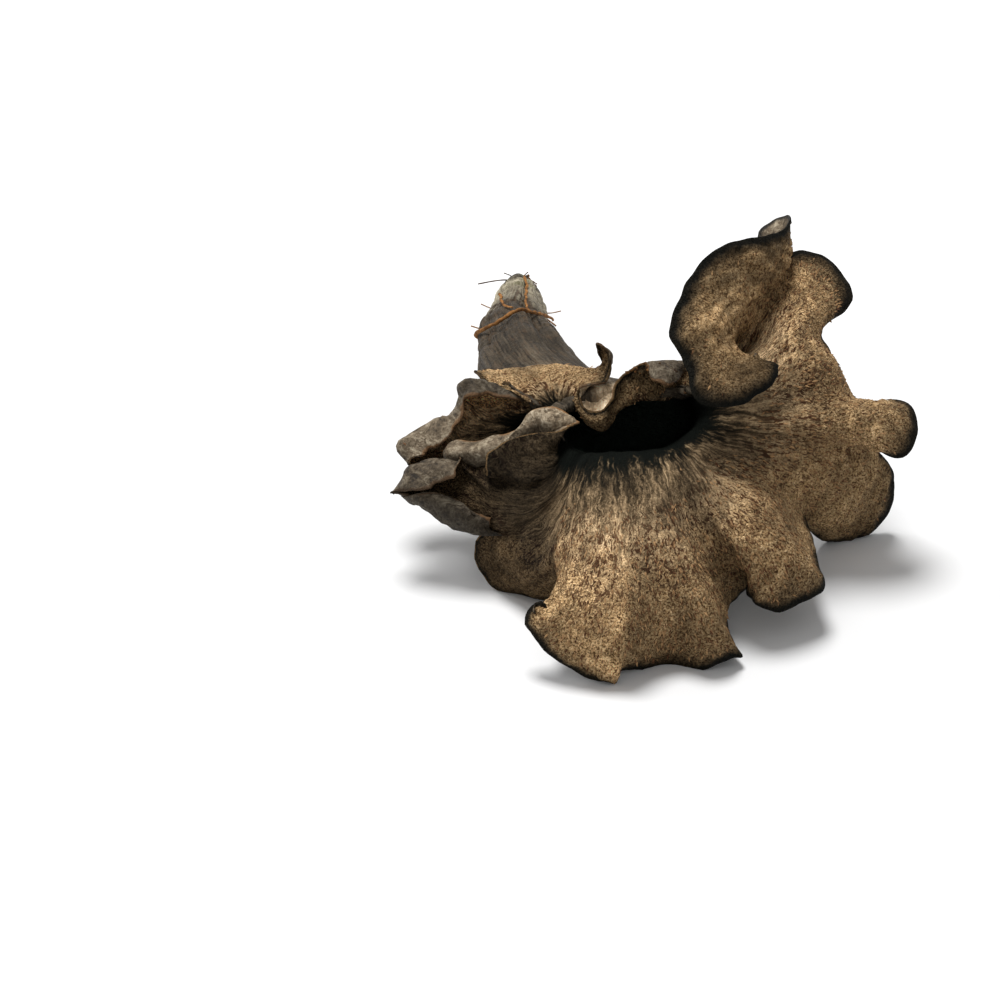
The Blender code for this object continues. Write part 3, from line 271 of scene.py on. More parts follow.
    "lowFingerTop": ((-3.2, -2.3, -1.6), (-5, -6, 3), (-7.4, -7, 3.4), (-11, -6.2, -0.6),
        (-14, -4.2, -3.2), (-15.4, -2.8, -2.6), (-15.4, -3.4, -0.6), (-14.4, -4.7, 0.2)),
    "lowFingerMid": ((-3, -2.5, -1.2), (-5, -6.4, 3.2), (-7.8, -7.8, 3.2), (-12, -6.8, -1.4),
        (-15.8, -4.4, -3.8), (-17.2, -3.2, -3.2), (-17.4, -3.6, -1), (-16.4, -5.2, -0.2)),
    "lowFingerMid2": ((-2.9, -2.6, -1.1), (-5, -6.6, 3.3), (-7.9, -8.1, 3.1), (-12.2, -7.2, -1.5),
        (-16.8, -5.2, -3.8), (-19.2, -4.4, -3.6), (-19.5, -4.6, -1.6), (-18.2, -6, -0.6)),
    "lowFingerTip": ((-2.8, -2.7, -1), (-5, -6.8, 3.4), (-8, -8.4, 3), (-12.5, -7.6, -1.6),
        (-17.5, -6.6, -3.2), (-20.6, -5.9, -3.2), (-21.1, -6.2, -2)),
    "stripLeft": ((-2.6, -2.8, -0.8), (-5, -7.2, 3.5), (-8, -9, 2.8), (-12.5, -8.6, -1.6),
        (-16.6, -7.6, -3), (-18.8, -7.2, -2.4), (-18.8, -6.7, -1), (-17.4, -6.4, -0.6)),
    "stripMid": ((-2.4, -2.9, -0.6), (-5, -7.6, 3.7), (-8, -9.6, 2.6), (-12, -9.6, -1.8),
        (-15, -9.2, -2.6), (-16.4, -8.6, -1.6), (-16, -7.6, -0.2), (-15.2, -6.7, 0.2), (-14.3, -7, -0.6)),
    "stripRight": ((-2.2, -3, -0.4), (-5, -8, 3.9), (-7.8, -10, 2.6), (-10.6, -10.2, -1),
        (-13, -10.2, -2.4), (-14, -9.8, -1.2), (-13.5, -8.7, 0.2), (-12.9, -8, 0), (-12.4, -8.6, -0.6)),
    "stripEnd": ((-2, -3.1, -0.2), (-5, -8.4, 4.1), (-7.4, -10.2, 3), (-9.6, -10.4, 0.4),
        (-11, -10.2, -0.8), (-11.2, -9.4, -0.4), (-10.9, -9, 0)),
    "bottomLeft1": ((-1.8, -3.1, 0), (-4.8, -8.8, 4.4), (-7, -10.8, 3.6), (-9.2, -11.2, 0.8),
        (-11, -11, -0.8), (-12.1, -10.6, -1.5)),
    "bottomLeft2": ((-1.8, -3.1, 0.3), (-4.6, -9.2, 4.8), (-6.8, -11.8, 4), (-9, -12.8, 1),
        (-11, -13, -1), (-12.4, -13.1, -2.2)),
    "bottomLeft3": ((-1.9, -3.1, 0.6), (-4.4, -9.6, 5.4), (-6.4, -12.6, 4.6), (-8.4, -14, 1.4),
        (-10, -15, -1), (-11.3, -15.4, -2.6)),
    "bottomLeft4": ((-2, -3.1, 1), (-4.3, -9.6, 6), (-5.8, -12.8, 5.4), (-7, -14.6, 2.6), (-8, -16, 0.2),
        (-8.7, -16.8, -2.2)),
    "bottomLeft5": ((-2, -3.1, 1.4), (-4.2, -9.4, 6.8), (-5.2, -12.8, 6.4), (-5.4, -14.6, 3.8),
        (-5.2, -16.2, 1), (-5.2, -17.4, -1.2)),
    "frontFold1": ((-2, -3.1, 1.7), (-4.1, -9.2, 7.4), (-4.5, -12.8, 7.4), (-3.8, -15, 5),
        (-3.4, -16.6, 2), (-3, -17.4, 0)),
    "frontFold2": ((-2, -3.1, 1.9), (-4.1, -9.1, 7.8), (-4.4, -13, 8.2), (-3.6, -15.6, 7),
        (-3.4, -17.4, 5), (-3.2, -18.4, 3.6)),
}


def curvePoints(points, shares, steps=16):
    # points at the wanted shares of the length of a Catmull-Rom curve through the given points
    given = np.array(points, float)
    ends = np.vstack([2 * given[0] - given[1], given, 2 * given[-1] - given[-2]])
    s = np.linspace(0, 1, steps, endpoint=False)[:, None]
    parts = [0.5 * (2 * b + (c - a) * s + (2 * a - 5 * b + 4 * c - d) * s**2 + (3 * b - a - 3 * c + d) * s**3)
             for a, b, c, d in zip(ends, ends[1:], ends[2:], ends[3:])]
    fine = np.vstack(parts + [given[-1:]])
    length = np.concatenate([[0], np.cumsum(np.linalg.norm(np.diff(fine, axis=0), axis=1))])
    return np.stack([np.interp(length[-1] * np.array(shares), length, fine[:, k]) for k in range(3)], axis=1)


def stemRows(angles):
    # a ring: centre + (width + fold) cos(angle) across + (depth + fold) sin(angle) over
    centres = np.array([ring[0] for ring in stemShape["rings"]])
    axes = np.gradient(centres, axis=0)
    axes /= np.linalg.norm(axes, axis=1, keepdims=True)
    neckRing, neckShare = stemShape["neckFolds"]
    rows = []
    for i, (centre, halfWidth, halfDepth) in enumerate(stemShape["rings"]):
        across = np.array([1.0, 0, 0]) - axes[i][0] * axes[i]
        across /= np.linalg.norm(across)
        over = np.cross(axes[i], across)
        share = min(halfWidth / stemShape["fullFolds"], 1) * (1 if i < neckRing else neckShare)
        fold = share * sum(high * np.cos(count * angles + math.radians(turn))
                           for count, high, turn in stemShape["folds"])
        wide = ((halfWidth + fold) * np.cos(angles))[:, None]
        deep = ((halfDepth + fold) * np.sin(angles))[:, None]
        rows.append(centre + wide * across + deep * over)
    return rows


def smoothedAround(row, rounds):
    # each point becomes a quarter of each neighbour and half of itself
    for _ in range(rounds):
        row = (np.roll(row, 1, axis=0) + 2 * row + np.roll(row, -1, axis=0)) / 4
    return row


def viewAngles():
    # sine and cosine of the viewer's tilt
    return math.sin(math.radians(drawing["viewTilt"])), math.cos(math.radians(drawing["viewTilt"]))


def toWorld(points):
    # drawing units to metres: shrunk toward the middle of the view with nearness, then tilted
    sine, cosine = viewAngles()
    toward = points[..., 2]
    nearer = (drawing["viewerDistance"] - toward) / drawing["viewerDistance"]
    right = drawing["viewRight"] + (points[..., 0] - drawing["viewRight"]) * nearer
    up = drawing["viewUp"] + (points[..., 1] - drawing["viewUp"]) * nearer
    height = drawing["zeroHeight"] + cosine * up + sine * toward
    world = np.stack([right, sine * up - cosine * toward, height], axis=-1) * drawing["unit"]
    return world + np.array(drawing["shift"])


def withEndRows(grid):
    # one more row past the tip and past the margin, straight on
    first = 2 * grid[:, :1] - grid[:, 1:2]
    last = 2 * grid[:, -1:] - grid[:, -2:-1]
    return np.concatenate([first, grid, last], axis=1)


def controlPoints():
    # lines round the funnel, rows from the tip to the margin, moved so that the sheet meets the drawn points
    count = len(capLines)
    angles = np.radians(stemShape["firstAngle"] + 360 * np.arange(count) / count)
    rows = stemRows(angles)
    cap = np.array([curvePoints((tuple(rows[-1][i]),) + points, capShape["rowShares"], capShape["lineSteps"])
                    for i, points in enumerate(capLines.values())])
    for i, rounds in enumerate(capShape["smoothRounds"]):
        cap[:, i] = smoothedAround(cap[:, i], rounds)
    grid = toWorld(np.concatenate([np.stack(rows, axis=1), cap], axis=1))
    drawn = grid
    for _ in range(capShape["fitRounds"]):
        padded = withEndRows((np.roll(grid, 1, axis=0) + 4 * grid + np.roll(grid, -1, axis=0)) / 6)
        grid = grid + drawn - (padded[:, :-2] + 4 * padded[:, 1:-1] + padded[:, 2:]) / 6
    return grid


def splineWeights(f):
    # the four weights of a cubic B-spline at a share f of the way between two rows
    return np.stack([(1 - f)**3, 3 * f**3 - 6 * f**2 + 4, 3 * f + 3 * f**2 - 3 * f**3 + 1, f**3], axis=-1) / 6


def sheetPoints(grid, around, along):
    # the sheet at every pair of a place around (in lines) and a place along (in rows)
    padded = withEndRows(grid)
    line = np.floor(around).astype(int)
    row = np.minimum(np.floor(along).astype(int), grid.shape[1] - 2)
    lineWeights, rowWeights = splineWeights(around - line), splineWeights(along - row)
    points = np.zeros((len(around), len(along), 3))
    for i in range(4):
        picked = padded[(line + i - 1) % grid.shape[0]]
        for j in range(4):
            points += lineWeights[:, i, None, None] * rowWeights[None, :, j, None] * picked[:, row + j]
    return points


def unitVectors(vectors):
    # each vector divided by its length
    return vectors / np.maximum(np.linalg.norm(vectors, axis=-1, keepdims=True), 1e-12)


def stacked(*values):
    # values brought to one shape and put side by side as the parts of vectors
    return np.stack(np.broadcast_arrays(*values), axis=-1)


def latticeNoise(points, seed):
    # from -1 to 1: random values at whole-number corners, blended by 6t^5 - 15t^4 + 10t^3
    cell = np.floor(points).astype(np.int64)
    part = points - cell
    blend = part**3 * (part * (part * 6 - 15) + 10)
    total = np.zeros(points.shape[:-1])
    stir = np.array([73856093, 19349663, 83492791])  # large odd numbers scatter neighbouring corners
    for corner in np.ndindex(2, 2, 2):
        at = (cell + np.array(corner)) * stir
        key = at[..., 0] ^ at[..., 1] ^ at[..., 2] ^ (seed * 40503 + 977)
        key = (key ^ key >> 13) * 1274126177
        value = ((key ^ key >> 16) & 0xFFFFFF) / 0x7FFFFF - 1
        total += np.prod(np.where(corner, blend, 1 - blend), axis=-1) * value
    return total


def layeredNoise(points, seed, layers=3):
    # noise with half the size and half the height added at each further layer
    return sum(latticeNoise(points * 2**i, seed + i) / 2**i for i in range(layers))


def smoothStep(value, low, high):
    # 0 below low, 1 above high, 3t^2 - 2t^3 between
    t = np.clip((value - low) / (high - low), 0, 1)
    return t * t * (3 - 2 * t)


print("stage: funnel")
control = controlPoints()
lineCount, rowCount = control.shape[:2]
lineNames = list(capLines)


def roundPlaces(count):
    # places around, closer together where the margin is long: even steps of line number plus margin length
    fine = np.linspace(0, lineCount, 4096, endpoint=False)
    margin = sheetPoints(control, fine, np.array([rowCount - 1.0]))[:, 0]
    step = np.linalg.norm(np.roll(margin, -1, axis=0) - margin, axis=1)
    even = capShape["evenShare"]
    density = np.cumsum(even / len(fine) + (1 - even) * step / step.sum())
    share = np.concatenate([[0], density / density[-1]])
    return np.interp(np.arange(count) / count, share, np.append(fine, lineCount))


ribs = {
    # lengthwise ribs, each count strongest where its waves have the wanted width
    "cycles": (20, 40, 80, 160),  # round the funnel
    "wave": 0.0019,  # metres
    "spread": 0.55,  # how quickly a count fades away from that width
    "stretch": 6.0,  # length of a rib in widths
    "height": 0.00024,
    "outerHeight": 0.00036,
    "outwardLoss": 0.6,  # share of the height lost on the outer half of the brown face
}
lumps = {
    # size and height in metres
    "broad": (0.0065, 0.00036),
    "pucker": (0.0024, 0.0017, 0.00036),  # size across and along the fibres, height
    "puckerTurn": (0.55, 0.45, 0.7),  # how the way along the fibres shifts the pattern in space
    "grain": (0.001, 0.00013),
    "bend": (0.009, 0.00035),
    "crumple": (0.0034, 0.0005),
    "outerFold": (0.0042, 0.000108),
    "crease": (0.0026, 0.002),
    "creaseFrom": 0.55,  # height of the noise from which a crease is cut
    "creaseDepth": (0.4, (0.3, 1.0)),  # least share of its depth, and the crumple that takes it to the most
    "marginRows": 1.5,  # over which the margin's waves and its wandering set in
    "leastLoose": 0.3,  # added to the crumple at the margin
    "ruffle": 0.0006,  # how far the margin waves up and down
    "waves": ((17, 1.0), (36, 0.5)),  # radius of the ring through the noise, share
    "ragged": 0.00042,  # how far it wanders in and out
    "wanders": ((22, 1.0), (58, 0.7)),
}
seeds = {"wanders": 5, "waves": 7, "ribs": 11, "broad": 31, "pucker": 41, "grain": 47, "outerFold": 61,
         "crease": 66, "bend": 71, "crumple": 73, "strandBends": 80, "strandKnobs": 90, "rootlets": 120}
# Rows between which something sets in on the way from the tip to the margin
fades = {"neck": (6.0, 9.0), "greyTones": (6.2, 8.4), "cap": (8.0, 11.0), "bend": (9.0, 14.0),
         "crumple": (9.5, 13.0), "outward": (12.0, 16.0)}

# Values at named lines, straight between them
atLines = {
    # depth of the bends that both faces share
    "crumple": {
        "frontHook": 0.5, "frontLow": 0.25, "frontRight": 0.3, "rightBottom": 0.35, "valley3": 0.2,
        "upperRightSide": 0.25, "wall1": 0.35, "smallRoundTop": 0.25, "ear3": 0.3, "ear8": 0.3,
        "backWall1": 0.9, "curl2": 0.9, "scoop2": 0.5, "backLeftBack2": 0.8, "leftUp2": 1.0,
        "fingerMid": 0.9, "rollMid": 0.9, "rollRight": 1.5, "mainTop": 0.7, "pouchTop": 0.7,
        "lowFingerMid": 0.8, "stripMid": 0.9, "bottomLeft2": 0.5, "frontFold1": 0.3},
    # depth of the brown face's puckers
    "pucker": {
        "frontHook": 0.7, "frontRecess": 0.7, "frontRight": 0.8, "rightBottom": 0.9, "valley3": 0.6,
        "rightSide": 0.9, "upperRightSide": 0.9, "wall1": 0.6, "smallRoundRight": 0.9, "ear1": 1.3,
        "ear5": 1.5, "ear9": 1.2, "backWall1": 0.5, "scoop2": 0.3, "backLeftBack2": 0.9,
        "leftUp2": 0.5, "rollMid": 0.3, "mainLeft": 0.4, "stripMid": 0.5, "bottomLeft3": 0.6},
    # width (mm) of the black margin
    "black": {
        "frontNotch": 0.6, "frontLeft": 0.9, "frontLow": 1.0, "frontRecess": 1.2, "frontRightTip": 1.1,
        "valley1": 0.7, "rightBottom": 1.4, "valley3": 0.9, "rightBottomEdge": 1.9, "rightSide": 1.6,
        "rightTop": 0.9, "rightNotch": 0.3, "upperRightLow": 1.1, "upperRightSide": 2.4,
        "upperRightTop": 1.0, "wall1": 0.4, "smallRoundLow": 1.4, "smallRoundRight": 3.2,
        "smallRoundTop": 2.3, "earFoldTop": 0.7, "earTop": 1.0, "ear3": 1.5, "ear7": 1.7, "ear9": 1.1,
        "backWall1": 0.6, "scoop2": 0.3, "backLeftTip": 0.3, "backLeftBack2": 0.5, "leftUp1": 0.3,
        "rollMid": 0.15, "mainLeft": 0.1, "stripMid": 0.5, "bottomLeft1": 0.3, "bottomLeft3": 0.3},
    # lightness of the brown face, lobe by lobe: partly the lobes' own tone, partly painted light on lit lobes
    # and painted shade on lobes that lie under others
    "brown": {
        "frontHook": 1.6, "frontLow": 1.85, "frontPointTip": 1.95, "frontRecess": 0.82,
        "frontRecess2": 0.68, "frontRight": 1.1, "valley2": 0.8, "rightBottom": 1.25, "valley3": 1.15,
        "rightBottomEdge": 1.1, "rightSide": 1.1, "rightNotch": 1.15, "upperRightSide": 1.7,
        "upperRightTop": 1.5, "wall1": 1.2, "smallRoundRight": 2.15, "back3": 1.3, "earTop": 1.0,
        "ear3": 1.2, "ear5": 1.2, "ear7": 0.85, "ear9": 0.65, "backWall1": 0.5, "curl3": 0.75,
        "scoop2": 0.65, "backLeftBack2": 1.42, "leftUp1": 2.1, "leftUp2": 2.5, "fingerTop": 2.0,
        "fingerMid": 1.0, "rollMid": 0.6, "mainTop": 0.2, "mainLeft2": 0.1, "pouchTop": 0.2,
        "stripMid": 0.45, "bottomLeft2": 0.3, "bottomLeft5": 0.4, "frontFold2": 0.9},
    # its lightness near the throat: painted light that lifts places lying in shade
    "near": {
        "frontFold1": 1.3, "bottomLeft5": 1.25, "bottomLeft2": 1.05, "rollEnd": 1.05,
        "frontPointTip": 1.45, "frontRecess2": 1.5, "valley2": 1.5, "rightBottom": 1.3,
        "smallRoundTop": 1.3, "back3": 1.6, "earTop": 2.4, "ear2": 2.2, "ear9": 1.05},
    # how far out (mm) that lightness reaches
    "nearReach": {
        "frontFold1": 0.01, "frontNotch": 0.01, "frontLeft2": 24, "bottomLeft5": 25, "bottomLeft2": 20,
        "stripMid": 12, "pouchTop": 8, "mainLeft2": 5, "mainTop": 3, "rollEnd": 0.01,
        "frontPointTip": 24, "frontRecess": 43, "frontRecess2": 43, "frontRight": 32, "valley2": 25,
        "rightBottom": 0.01, "smallRoundTop": 0.01, "back3": 20, "ear2": 22, "ear3": 0.01},
    # millimetres from the throat at which long fibres give way to grain
    "zone": {
        "frontNotch": 30, "frontLow": 38, "frontRecess2": 37, "frontRight": 36, "valley2": 31,
        "rightBottom": 32, "valley3": 28, "rightSide": 29, "upperRightSide": 29, "wall2": 28,
        "smallRoundTop": 30, "earTop": 18, "ear3": 15, "ear6": 14.5, "ear9": 16, "ear11": 16,
        "backWall2": 9, "curl2": 6, "scoop2": 5, "backLeftRight": 5, "backLeftBack2": 8, "leftUp2": 11,
        "fingerMid": 26, "rollMid": 22, "rollEnd": 14, "mainTop": 14, "mainLeft2": 22, "pouchTop": 28,
        "stripMid": 30, "bottomLeft2": 26, "bottomLeft5": 30},
    # millimetres from the throat at which its painted shade has gone
    "dusk": {
        "frontNotch": 26, "frontLow": 28.6, "frontRight": 28.6, "valley2": 26, "rightBottom": 26,
        "valley3": 24, "rightSide": 23.5, "upperRightSide": 24, "wall2": 21, "smallRoundTop": 17,
        "earTop": 8, "ear3": 6, "ear6": 6, "ear9": 11, "ear11": 15, "backWall2": 12, "curl2": 6,
        "scoop2": 4, "backLeftRight": 4, "backLeftBack2": 8, "leftUp1": 10, "leftUp2": 13.5,
        "fingerTop": 16, "fingerMid": 18, "rollMid": 16, "rollEnd": 12, "mainTop": 7, "mainLeft2": 10,
        "pouchTop": 12, "stripMid": 14, "bottomLeft2": 17, "bottomLeft5": 21},
    # how strongly the very edge is coloured pale
    "rim": {
        "frontNotch": 0.0, "ear11": 0.0, "backWall2": 0.3, "curl2": 0.4, "scoop2": 0.5,
        "backLeftRight": 0.3, "backLeftEdge": 0.2, "leftUp1": 0.3, "fingerMid": 0.4, "rollMid": 0.5,
        "rollEnd": 0.8, "mainTop": 0.5, "mainLeft2": 0.5, "pouchTop": 0.3, "lowFingerTip": 0.1,
        "stripMid": 0.2, "bottomLeft1": 0.6, "bottomLeft3": 0.5, "bottomLeft5": 0.1},
    # lightness of the grey face, lobe by lobe: partly its own tone, partly painted light on faces in shade,
    # such as the scoop, and painted shade on lobes that lie under others
    "grey": {
        "frontHook": 0.9, "rightSide": 0.9, "smallRoundTop": 0.9, "back3": 1.6, "earTop": 1.5,
        "ear3": 1.0, "backWall1": 0.6, "curl2": 0.9, "scoop1": 6.5, "scoop4": 6.0, "backLeftTip": 0.7,
        "backLeftSide": 0.5, "leftUp1": 0.5, "leftTubeEnd": 0.6, "fingerTop2": 1.2, "fingerMid": 1.3,
        "rollMid": 1.5, "rollRight": 2.0, "rollEnd": 2.6, "mainTop": 1.3, "pouchTop": 0.95,
        "lowFingerTip": 0.8, "stripMid": 0.5, "bottomLeft3": 0.35, "frontFold1": 0.5},
}


def lobeValues(name, around):
    # a column of values at places around, read between the named lines all the way round
    knots = atLines[name]
    at = np.array([lineNames.index(line) for line in knots], float)
    values = np.array(list(knots.values()), float)
    order = np.argsort(at)
    return np.interp(around, at[order], values[order], period=lineCount)[:, None]


def fadeIn(name, along):
    # a row of shares that rise from 0 to 1 between the two rows of that name
    return smoothStep(along, *fades[name])[None, :]


def ringPoints(around, radius, third):
    # each place around as a point on a circle, with a third value beside it
    angle = (2 * math.pi * around / lineCount)[:, None]
    return stacked(radius * np.cos(angle), radius * np.sin(angle), third)


def ribHeights(around, length, width):
    # noise stretched along the funnel at several counts, weighted by how near each is to the wanted width
    total = np.zeros(length.shape)
    for i, cycles in enumerate(ribs["cycles"]):
        wave = width * lineCount / cycles
        weight = np.exp(-(np.log(wave / ribs["wave"]) / ribs["spread"])**2)
        ring = ringPoints(around, cycles / (2 * math.pi), length / (ribs["wave"] * ribs["stretch"]))
        total += weight * latticeNoise(ring, seeds["ribs"] + i)
    return total


def marginNoise(around, name):
    # a column of noise round the margin: rings of several radii through the lattice, added by their shares
    return sum(share * latticeNoise(ringPoints(around, radius, 0.0), seeds[name] + i)
               for i, (radius, share) in enumerate(lumps[name]))


def sheetFields(around, along):
    # the bare sheet with its ragged margin, its normals and the width of one line's strip
    wander, wave = marginNoise(around, "wanders"), marginNoise(around, "waves")
    loose = lumps["leastLoose"] + lobeValues("crumple", around)
    points = sheetPoints(control, around, along)
    across = np.roll(points, -1, axis=0) - np.roll(points, 1, axis=0)
    onward = np.gradient(points, axis=1)
    normal = unitVectors(np.cross(across, onward))
    last = rowCount - 1
    nearMargin = smoothStep(along, last - lumps["marginRows"], last)[None, :, None]
    points = points + unitVectors(onward) * nearMargin * (wander * loose * lumps["ragged"])[..., None]
    points = points + normal * nearMargin * (wave * loose * lumps["ruffle"])[..., None]
    gap = (np.roll(around, -1) - np.roll(around, 1)) % lineCount
    return points, normal, np.linalg.norm(across, axis=2) / gap[:, None]


def wallThickness(along):
    # thick at the stem, thinner in the outer half of the cap
    begins, takes = capShape["thinning"]
    thick, thin = capShape["wall"]
    return thick + (thin - thick) * np.clip((along / (rowCount - 1) - begins) / takes, 0, 1)[None, :]


def lumpHeights(name, points, layers):
    # layered noise in space at the size and height of that name
    size, high = lumps[name]
    return layeredNoise(points / size, seeds[name], layers) * high


def brownRelief(points, around, along, length, width):
    # lumps and puckers in space plus ribs along the sheet; flat in the stem
    inCap, outward = fadeIn("cap", along), fadeIn("outward", along)
    acrossSize, alongSize, puckerHigh = lumps["pucker"]
    creased = points / acrossSize + length[..., None] / alongSize * np.array(lumps["puckerTurn"])
    high = lumpHeights("broad", points, 3) * inCap
    high += layeredNoise(creased, seeds["pucker"], 2) * puckerHigh * lobeValues("pucker", around) * outward
    high += lumpHeights("grain", points, 1) * outward
    ribbed = ribHeights(around, length, width) * ribs["height"]
    return high + ribbed * inCap * (1 - ribs["outwardLoss"] * outward)


def greyRelief(points, around, along, length, width):
    # soft lumps minus sharp creases plus lengthwise ribs; creases deepest in the stem and in crumpled lobes
    creaseSize, creaseHigh = lumps["crease"]
    ridge = 1 - np.abs(layeredNoise(points / creaseSize, seeds["crease"], 2))
    least, limits = lumps["creaseDepth"]
    deep = least + (1 - least) * smoothStep(lobeValues("crumple", around), *limits)
    deep = np.maximum(deep, 1 - fadeIn("neck", along))
    creases = np.clip(ridge - lumps["creaseFrom"], 0, 1)**2 * creaseHigh * deep
    return (lumpHeights("outerFold", points, 2) - creases
            + ribHeights(around, length, width) * ribs["outerHeight"])


def addPiece(name, points, faces, attributes):
    # a mesh object from points, faces and named values at the points, one or three to a point
    mesh = bpy.data.meshes.new(name)
    mesh.from_pydata(points.tolist(), [], faces)
    for key, values in attributes.items():
        kind, field = ("FLOAT", "value") if values.ndim == 1 else ("FLOAT_VECTOR", "vector")
        mesh.attributes.new(key, kind, "POINT").data.foreach_set(field, values.astype(np.float32).ravel())
    made = bpy.data.objects.new(name, mesh)
    bpy.context.scene.collection.objects.link(made)
    return made


def smoothShaded(piece):
    # every face shaded smooth
    piece.data.polygons.foreach_set("use_smooth", [True] * len(piece.data.polygons))


attributeNames = ("flow", "where", "tone", "depth")


def sheetMesh(name, rings, faceKinds, closing):
    # a strip of quads round the funnel, closed by a ring of quads or by a pole at each end
    count, rows = rings["place"].shape[:2]
    index = np.arange(count * rows).reshape(count, rows)
    after = np.roll(index, -1, axis=0)
    quads = np.stack([index[:, :-1], after[:, :-1], after[:, 1:], index[:, 1:]], axis=-1)
    faces = quads.reshape(-1, 4).tolist()
    kinds = faceKinds.tolist() * count
    values = {key: rings[key].reshape(-1, 3) for key in ("place",) + attributeNames}
    if closing == "ring":
        faces += np.stack([after[:, 0], index[:, 0], index[:, -1], after[:, -1]], axis=-1).tolist()
        kinds += [kinds[-1]] * count
    else:
        values = {key: np.vstack([value, value[index[:, 0]].mean(axis=0), value[index[:, -1]].mean(axis=0)])
                  for key, value in values.items()}
        base = count * rows
        faces += [[base, b, a] for a, b in zip(index[:, 0].tolist(), after[:, 0].tolist())]
        faces += [[base + 1, a, b] for a, b in zip(index[:, -1].tolist(), after[:, -1].tolist())]
        kinds += [kinds[0]] * count + [kinds[-1]] * count
    made = addPiece(name, values.pop("place"), faces, values)
    made.data.polygons.foreach_set("material_index", kinds)
    smoothShaded(made)
    return made


# A table of the length from the tip, and how many entries it has to a line and to a row
perLine, perRow = 2, 10
tablePoints = sheetPoints(control, np.arange(lineCount * perLine) / perLine,
                          np.arange((rowCount - 1) * perRow + 1) / perRow)
tableSteps = np.linalg.norm(np.diff(tablePoints, axis=1), axis=2)
tableLength = np.pad(np.cumsum(tableSteps, axis=1), ((0, 0), (1, 0)))


def lengthAt(around, along):
    # length from the tip in metres, read between the four nearest entries of the table
    a, b = around[:, None] * perLine, along[None, :] * perRow
    i, j = np.floor(a).astype(int), np.minimum(np.floor(b).astype(int), tableLength.shape[1] - 2)
    f, g = a - i, b - j
    low, high = i % len(tableLength), (i + 1) % len(tableLength)
    return ((1 - f) * ((1 - g) * tableLength[low, j] + g * tableLength[low, j + 1])
            + f * ((1 - g) * tableLength[high, j] + g * tableLength[high, j + 1]))


ringUnits = 125.66  # the funnel's girth in the units that patterns are read in
milli = 1000


tones = {
    # painted light and shade: the tone near the throat lifts places in shade, a full ridge of the brown
    # relief is painted lighter and a full hollow darker, and the grey face is painted by which way it looks
    "nearFade": (0.7, 1.2),  # shares of the reach between which the tone near the throat gives way
    "fullRelief": 0.0005,  # metres that make a full ridge or hollow
    "contrast": 0.5,  # how much lighter a full ridge is
    "paintedTopLight": (0.5, -0.5, 0.8),  # gain in the cap, and how far up a face looks where it starts and ends
    "shaded": (0.1, 0.2, 0.95),  # loss in the stem, with its start and end
    "greyBase": (0.75, 0.6),  # lightness of the stem, and of what looks down in the cap
}


def brownTone(around, fromThroat, relief):
    # the tone of the lobe, and nearer in the tone near the throat, both partly painted light and shade;
    # ridges painted lighter and hollows painted darker
    near, reach = lobeValues("near", around), lobeValues("nearReach", around)
    beyond = smoothStep(fromThroat / reach, *tones["nearFade"])
    lit = near + (lobeValues("brown", around) - near) * beyond
    return lit * (1 + np.clip(relief / tones["fullRelief"], -1, 1) * tones["contrast"])


def greyTone(around, along, normal):
    # the tone of the lobe, plain in the stem; in the cap, painted light makes what looks up paler and painted
    # shade makes what looks down darker; in the stem, painted shade darkens what looks up
    upward, inCap = normal[..., 2], fadeIn("neck", along)
    lit = 1 + (lobeValues("grey", around) - 1) * fadeIn("greyTones", along)
    (gain, *gainLimits), (loss, *lossLimits), (stemBase, capBase) = (
        tones[key] for key in ("paintedTopLight", "shaded", "greyBase"))
    ofCap = capBase + gain * smoothStep(upward, *gainLimits)
    ofStem = stemBase - loss * smoothStep(upward, *lossLimits)
    return lit * (ofStem + (ofCap - ofStem) * inCap)


def faceFields(around, along, onOuter):
    # one face of the wall: the sheet moved along its normals, and what the finish of that face reads
    points, normal, width = sheetFields(around, along)
    length = lengthAt(around, along)
    fromMargin = lengthAt(around, np.array([rowCount - 1.0])) - length
    fromThroat = (length - lengthAt(around, np.array([capShape["throat"]]))) * milli
    wall = wallThickness(along)
    thinOut = smoothStep(fromMargin, 0.0, capShape["thinEdge"])
    bends = lumpHeights("bend", points, 1) * fadeIn("bend", along)
    bends += lumpHeights("crumple", points, 2) * lobeValues("crumple", around) * fadeIn("crumple", along)
    if onOuter:
        relief = greyRelief(points, around, along, length, width)
        high = bends + np.maximum(wall + relief * thinOut, capShape["leastOuter"] * wall)
        light = greyTone(around, along, normal)
    else:
        relief = brownRelief(points, around, along, length, width)
        high = bends - np.maximum(relief * thinOut, -capShape["mostHollow"] * wall)
        light = brownTone(around, fromThroat, relief)
    place = points + normal * high[..., None]
    place[..., 2] = np.maximum(place[..., 2], capShape["overFloor"][onOuter])
    zone = np.clip(fromThroat / lobeValues("zone", around), -1, 3)
    return {"place": place, "normal": normal, "onward": unitVectors(np.gradient(place, axis=1)),
            "flow": ringPoints(around, ringUnits / (2 * math.pi), length * milli),
            "where": stacked(zone, fromMargin * milli, width * lineCount / ringUnits * milli),
            "tone": stacked(light, lobeValues("black", around), lobeValues("rim", around)),
            "depth": stacked(fromThroat / lobeValues("dusk", around), lobeValues("pucker", around), 0.0)}


